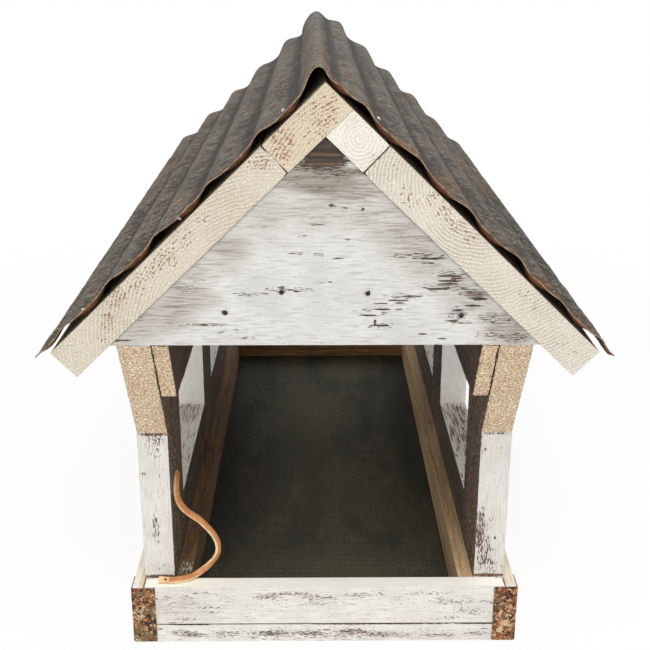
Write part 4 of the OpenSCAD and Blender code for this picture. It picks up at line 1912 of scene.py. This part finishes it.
@dataclass
class RoofSheet:
    """One corrugated sheet bent over the ridge, its crests along the roof.

    The wave is given by its turning points, each a distance down the slope and a
    height over the boards: a hollow first, then a crest, and so on. They change
    evenly from the front end to the back one, where the sheet has sprung up.

    Attributes:
        left: Turning points of the left slope, at the front and then at the back.
        right: Turning points of the right slope, in the same way.
        cap: Place across and height over the peak of the ridge's crest, front and back.
        half: Half of the sheet's length along the ridge.
        lip: Length of the curled front edge and the height that it curls to.
        gauge: Thickness of the sheet.
        dents: Depth, width and seed of the dents, from the widest.
        slope_steps: Steps of the grid down each slope.
        cap_steps: Steps of the grid over each side of the ridge.
        rows: Steps of the grid along the ridge.
    """

    roof: RoofBoards
    left: tuple[Wave, Wave] = (
        (
            (28, 0.3), (51, 7.0), (73, 0.5), (97, 7.0), (119, 0.5), (146, 7.0), (166, 0.5),
            (190, 7.0), (213, 0.6), (237, 6.5), (253, 2.4), (264.5, 4.4),
        ),
        (
            (30, 0.8), (51, 8.7), (72, 2.6), (98, 9.3), (123, 3.1), (141.5, 10.5), (163, 4.4),
            (184, 12.3), (206, 6.6), (229, 14.0), (246, 8.0), (259, 8.6),
        ),
    )
    right: tuple[Wave, Wave] = (
        (
            (8, 0.5), (27, 7.0), (51, 0.5), (75, 7.0), (100, 0.5), (122, 7.0), (146, 0.5),
            (168, 7.0), (190, 0.6), (210, 6.5), (232, 2.4), (249, 7.4), (264.0, 2.4),
        ),
        (
            (5, 3.6), (22.6, 11.3), (42, 5.7), (65.5, 12.1), (88, 5.2), (107, 11.8), (131, 5.9),
            (150, 12.2), (173, 6.5), (191.5, 10.4), (215, 6.1), (235, 10.1), (256, 5.0),
        ),
    )
    cap: tuple[tuple[float, float], ...] = ((-4.0, 10.9), (-4.2, 7.4))
    half: float = 344.8
    lip: tuple[float, float] = (9.0, 5.0)
    gauge: float = 0.8
    dents: tuple[Point, ...] = ((0.5, 38, 1.0), (0.35, 14, 2.0), (0.18, 5, 6.0))
    slope_steps: int = 150
    cap_steps: int = 14
    rows: int = 92

    def turning_points(self, side: int, share: float) -> list[tuple[float, float]]:
        """Gives a slope's turning points at a share of the way to the back.

        Args:
            side: -1 for the left slope and 1 for the right one.
            share: The share.

        Returns:
            The points.
        """
        front, back = self.left if side < 0 else self.right
        return [(a + (c - a) * share, b + (d - b) * share) for (a, b), (c, d) in zip(front, back)]

    def slope_line(self, side: int, share: float) -> list[tuple[Vector, float, float]]:
        """Gives one slope's section, from the ridge down.

        Args:
            side: -1 for the left slope and 1 for the right one.
            share: How far along to the back, from 0 to 1.

        Returns:
            For each point its place across and up, its height over the boards and
            how close it is to a crest, in millimetres.
        """
        knots = self.turning_points(side, share)
        line = []
        index = 0
        start, end = knots[0][0], knots[-1][0]
        for i in range(self.slope_steps + 1):
            down = start + (end - start) * i / self.slope_steps
            while index < len(knots) - 2 and down > knots[index + 1][0]:
                index += 1
            (s0, h0), (s1, h1) = knots[index], knots[index + 1]
            turn = (1 - math.cos(math.pi * min(1.0, (down - s0) / (s1 - s0)))) / 2
            height = h0 + (h1 - h0) * turn
            x, z = self.roof.on_slope(side, down, height + 0.9)
            line.append((Vector((x, 0, z)), height, turn if index % 2 == 0 else 1 - turn))
        return line

    def section(self, share: float) -> list[tuple[Vector, Vector, float, float]]:
        """Gives the whole section, from the left eave to the right one.

        Args:
            share: How far along to the back, from 0 to 1.

        Returns:
            For each point its place, the way out of the sheet, its height over the
            boards and how close it is to a crest. Places and heights are in
            millimetres.
        """
        left, right = self.slope_line(-1, share), self.slope_line(1, share)
        (x0, z0), (x1, z1) = self.cap
        top = Vector((x0 + (x1 - x0) * share, 0, self.roof.peak + z0 + (z1 - z0) * share))
        a = math.radians(self.roof.slope)
        rise = Vector((math.cos(a), 0, math.sin(a))) * 8
        steep = rise.lerp(Vector((0, 0, 10)), share)
        fall = Vector((math.cos(a), 0, -math.sin(a))) * 6
        first, last = left[0][0], right[0][0]
        arcs = (
            (first, first + steep, top - Vector((9 + 2 * share, 0, 0)), top),
            (top, top + Vector((6 - 3 * share, 0, 0)), last - fall, last),
        )
        line = left[::-1]
        for side, (p, q, r, s) in enumerate(arcs):
            for i in range(1, self.cap_steps + 1):
                u = i / self.cap_steps
                point = (
                    p * (1 - u) ** 3
                    + 3 * q * u * (1 - u) ** 2
                    + 3 * r * u * u * (1 - u)
                    + s * u**3
                )
                height = left[0][1] + 12 * smooth(0.0, 0.9, u)
                if side:
                    height = right[0][1] + 12 * smooth(1.0, 0.1, u)
                line.append((point, height, smooth(0.0, 0.9, u if side == 0 else 1 - u)))
        line += right[1:]
        found = []
        end = len(line) - 1
        for i, (point, height, crest) in enumerate(line):
            ahead = (line[min(i + 1, end)][0] - line[max(i - 1, 0)][0]).normalized()
            found.append((point, Vector((-ahead.z, 0, ahead.x)), height, crest))
        return found

    def build(self) -> bpy.types.Object:
        """Bends the grid to the section and gives it its dents, curls and thickness.

        Returns:
            The sheet.
        """
        columns = 2 * (self.slope_steps + self.cap_steps)
        mesh = bmesh.new()
        bmesh.ops.create_grid(mesh, x_segments=columns, y_segments=self.rows, size=1.0)
        map_layer = mesh.loops.layers.uv.new("unrolled")
        crest_layer = mesh.verts.layers.float.new("crest")
        middle = self.section(0.5)
        far = [0.0]
        for (a, *_), (b, *_) in zip(middle, middle[1:]):
            far.append(far[-1] + (b - a).length)
        lines: dict[float, list] = {}
        place = {}
        length, height_up = self.lip
        for vert in mesh.verts:
            column = round((vert.co.x + 1) / 2 * columns)
            share = round(vert.co.y, 5)
            # Rows lie closer together near both ends, for the curled lip.
            along = math.copysign(1 - (1 - abs(share)) ** 1.6, share) * self.half
            if share not in lines:
                lines[share] = self.section((along + self.half) / (2 * self.half))
            point, out, height, crest = lines[share][column]
            curl = smooth(self.half - length, self.half, -along)
            # A soft maximum lifts the hollows and leaves the crests alone.
            lift = 0.8 * math.log1p(math.exp((height_up - height) / 0.8)) * curl
            at = Vector((point.x, along, point.z)) * MM
            dent = sum(deep * rough(at, wide, seed) for deep, wide, seed in self.dents)
            at += out * (lift + dent - 0.4) * MM
            at.y *= 1 - 0.0014 * (1 + rough(at, 6, 3.0))
            vert.co = at
            vert[crest_layer] = crest
            place[vert.index] = (far[column] * MM, along * MM)
        for face in mesh.faces:
            for loop in face.loops:
                loop[map_layer].uv = place[loop.vert.index]
        bmesh.ops.recalc_face_normals(mesh, faces=mesh.faces)
        mesh.normal_update()
        if sum(f.normal.z for f in mesh.faces) < 0:
            bmesh.ops.reverse_faces(mesh, faces=mesh.faces[:])
        top = WeatheredSheet(
            "weathered_galvanised_sheet",
            patches=worn_places(
                (38, -322, 410, 26, 34, 26, 1.3), (34, -333, 412, 9, 12, 9, 2.0),
                (62, -322, 385, 30, 40, 26, 1.5), (92, -300, 358, 40, 70, 30, 0.9),
                (150, -322, 300, 60, 50, 60, 1.1), (160, -120, 285, 50, 300, 44, 0, 0.55),
                (128, -335, 305, 44, 70, 44, 0, 0.5), (-120, -335, 315, 44, 50, 44, 0, 0.12),
                (60, -250, 380, 70, 120, 60, 0, 0.2), (-70, -320, 375, 60, 50, 60, 0, 0.25),
                (4, -315, 440, 30, 60, 20, 1.2), (2, -180, 440, 30, 120, 20, 0.6),
                (-60, -342, 385, 60, 10, 60, 0.5), (-140, -342, 300, 70, 12, 70, 0.7),
                (-100, -280, 345, 40, 50, 40, 0.6), (100, -344, 340, 120, 8, 120, 0.9),
                (120, 330, 330, 90, 60, 90, 0.8), (-120, 330, 330, 90, 60, 90, 0.8),
                (150, 60, 300, 60, 110, 60, 0.7), (-150, 120, 300, 60, 110, 60, 0.7),
            ),
        )
        finishes = [top, SheetUnderside("rusted_sheet_underside_with_painted_shade"), CutEdge("sheared_sheet_edge")]
        piece = finish_piece(mesh, "corrugated_sheet", finishes, 80.0)
        wall = piece.modifiers.new("gauge", "SOLIDIFY")
        wall.thickness = self.gauge * MM
        wall.offset = -1.0
        wall.material_offset = 1
        wall.material_offset_rim = 2
        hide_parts("roof_sheet")
        return piece


# --- Nails --------------------------------------------------------------------------


@dataclass
class Nails:
    """Small fasteners, each a domed head on a short shank.

    Attributes:
        sheet: For each nail of the sheet its slope, its distance down the slope, its
            height over the boards and its place along the ridge.
    """

    sheet: tuple[tuple[float, ...], ...] = (
        (-1, 31, 6.2, -341.0), (-1, 127, 4.4, -342.5), (-1, 219, 5.0, -338.0), (1, 40, 6.6, -335.0),
    )

    def head(
        self, name: str, place: Point, way: Vector, radius: float, finish: Finish, proud: float
    ) -> bpy.types.Object:
        """Drives one nail.

        Args:
            name: The piece's name.
            place: The middle of its head, in millimetres.
            way: The direction that the head looks.
            radius: The head's radius in millimetres.
            finish: Its finish.
            proud: Height of the head's dome in millimetres.

        Returns:
            The nail.
        """
        mesh = bmesh.new()
        bmesh.ops.create_uvsphere(mesh, u_segments=14, v_segments=8, radius=radius * MM)
        bmesh.ops.bisect_plane(
            mesh, geom=mesh.verts[:] + mesh.edges[:] + mesh.faces[:],
            plane_co=(0, 0, -0.15 * radius * MM), plane_no=(0, 0, 1), clear_inner=True,
        )
        bmesh.ops.scale(mesh, vec=(1, 1, proud / radius), verts=mesh.verts)
        rim = [e for e in mesh.edges if e.is_boundary]
        made = bmesh.ops.extrude_edge_only(mesh, edges=rim)
        lower = [v for v in made["geom"] if isinstance(v, bmesh.types.BMVert)]
        bmesh.ops.scale(mesh, vec=(0.5, 0.5, 1), verts=lower)
        made = bmesh.ops.extrude_edge_only(mesh, edges=[e for e in mesh.edges if e.is_boundary])
        lower = [v for v in made["geom"] if isinstance(v, bmesh.types.BMVert)]
        bmesh.ops.translate(mesh, vec=(0, 0, -2.0 * MM), verts=lower)
        bmesh.ops.holes_fill(mesh, edges=[e for e in mesh.edges if e.is_boundary])
        turn = way.to_track_quat("Z", "Y").to_matrix().to_4x4()
        bmesh.ops.transform(
            mesh, matrix=Matrix.Translation(Vector(place) * MM) @ turn, verts=mesh.verts
        )
        bmesh.ops.recalc_face_normals(mesh, faces=mesh.faces)
        return finish_piece(mesh, name, [finish])

    def build(self, gables: Gables, roof: RoofBoards) -> list[bpy.types.Object]:
        """Drives the nails of the gable, the straps, the lace and the sheet.

        Args:
            gables: The gables, which know their nails' places.
            roof: The roof boards, which give the slopes.

        Returns:
            The nails.
        """
        rusty = NailSteel("rusted_nail_steel", "#1E130E", "#3C2418")
        bright = NailSteel("bright_nail_steel", "#9A948A", "#D8D5CE", 0.7)
        front, up = -Y_AXIS, Z_AXIS
        plans = [
            (f"gable_nail_{index}", (x, -gables.face + 1.3, z), front, 1.6, rusty, 0.5)
            for index, (x, z) in enumerate(gables.nails)
        ]
        plans += (
            ("strap_nail_front_right", (134.3, -299.9, 5.6), front, 1.2, bright, 0.5),
            ("lace_nail", (-123.6, -293.3, 53.3), up, 1.2, rusty, 0.6),
            ("rail_nail_0", (-111.0, -278.0, 50.1), up, 1.3, rusty, 0.5),
            ("rail_nail_1", (-108.0, -277.0, 50.1), up, 1.3, rusty, 0.5),
        )
        a = math.radians(roof.slope)
        for index, (side, down, out, y) in enumerate(self.sheet):
            x, z = roof.on_slope(side, down, out)
            way = Vector((side * math.sin(a), -0.5, math.cos(a)))
            plans.append((f"sheet_nail_{index}", (x, y, z), way, 1.3, bright, 0.7))
        made = [self.head(*plan) for plan in plans]
        return made


# --- The whole feeder ---------------------------------------------------------------


def main() -> None:
    """Builds the studio and the feeder, piece by piece."""
    logging.basicConfig(level=logging.INFO, format="%(message)s")
    studio = Studio()
    studio.camera()
    made = [LeatherLace().build()]
    tray = Tray()
    made += tray.end_boards()
    made += tray.side_boards()
    made.append(tray.screen())
    made += tray.straps()
    walls = Walls()
    made += walls.posts()
    made += walls.side_boards()
    made += walls.top_plates()
    gables = Gables()
    made += gables.build()
    roof = RoofBoards()
    made += roof.build()
    made.append(RoofSheet(roof).build())
    made += Nails().build(gables, roof)
    studio.floor()
    studio.light()
    for piece in made:
        REPORT.info("%s: %d faces", piece.name, len(piece.data.polygons))


if __name__ == "__main__":
    main()
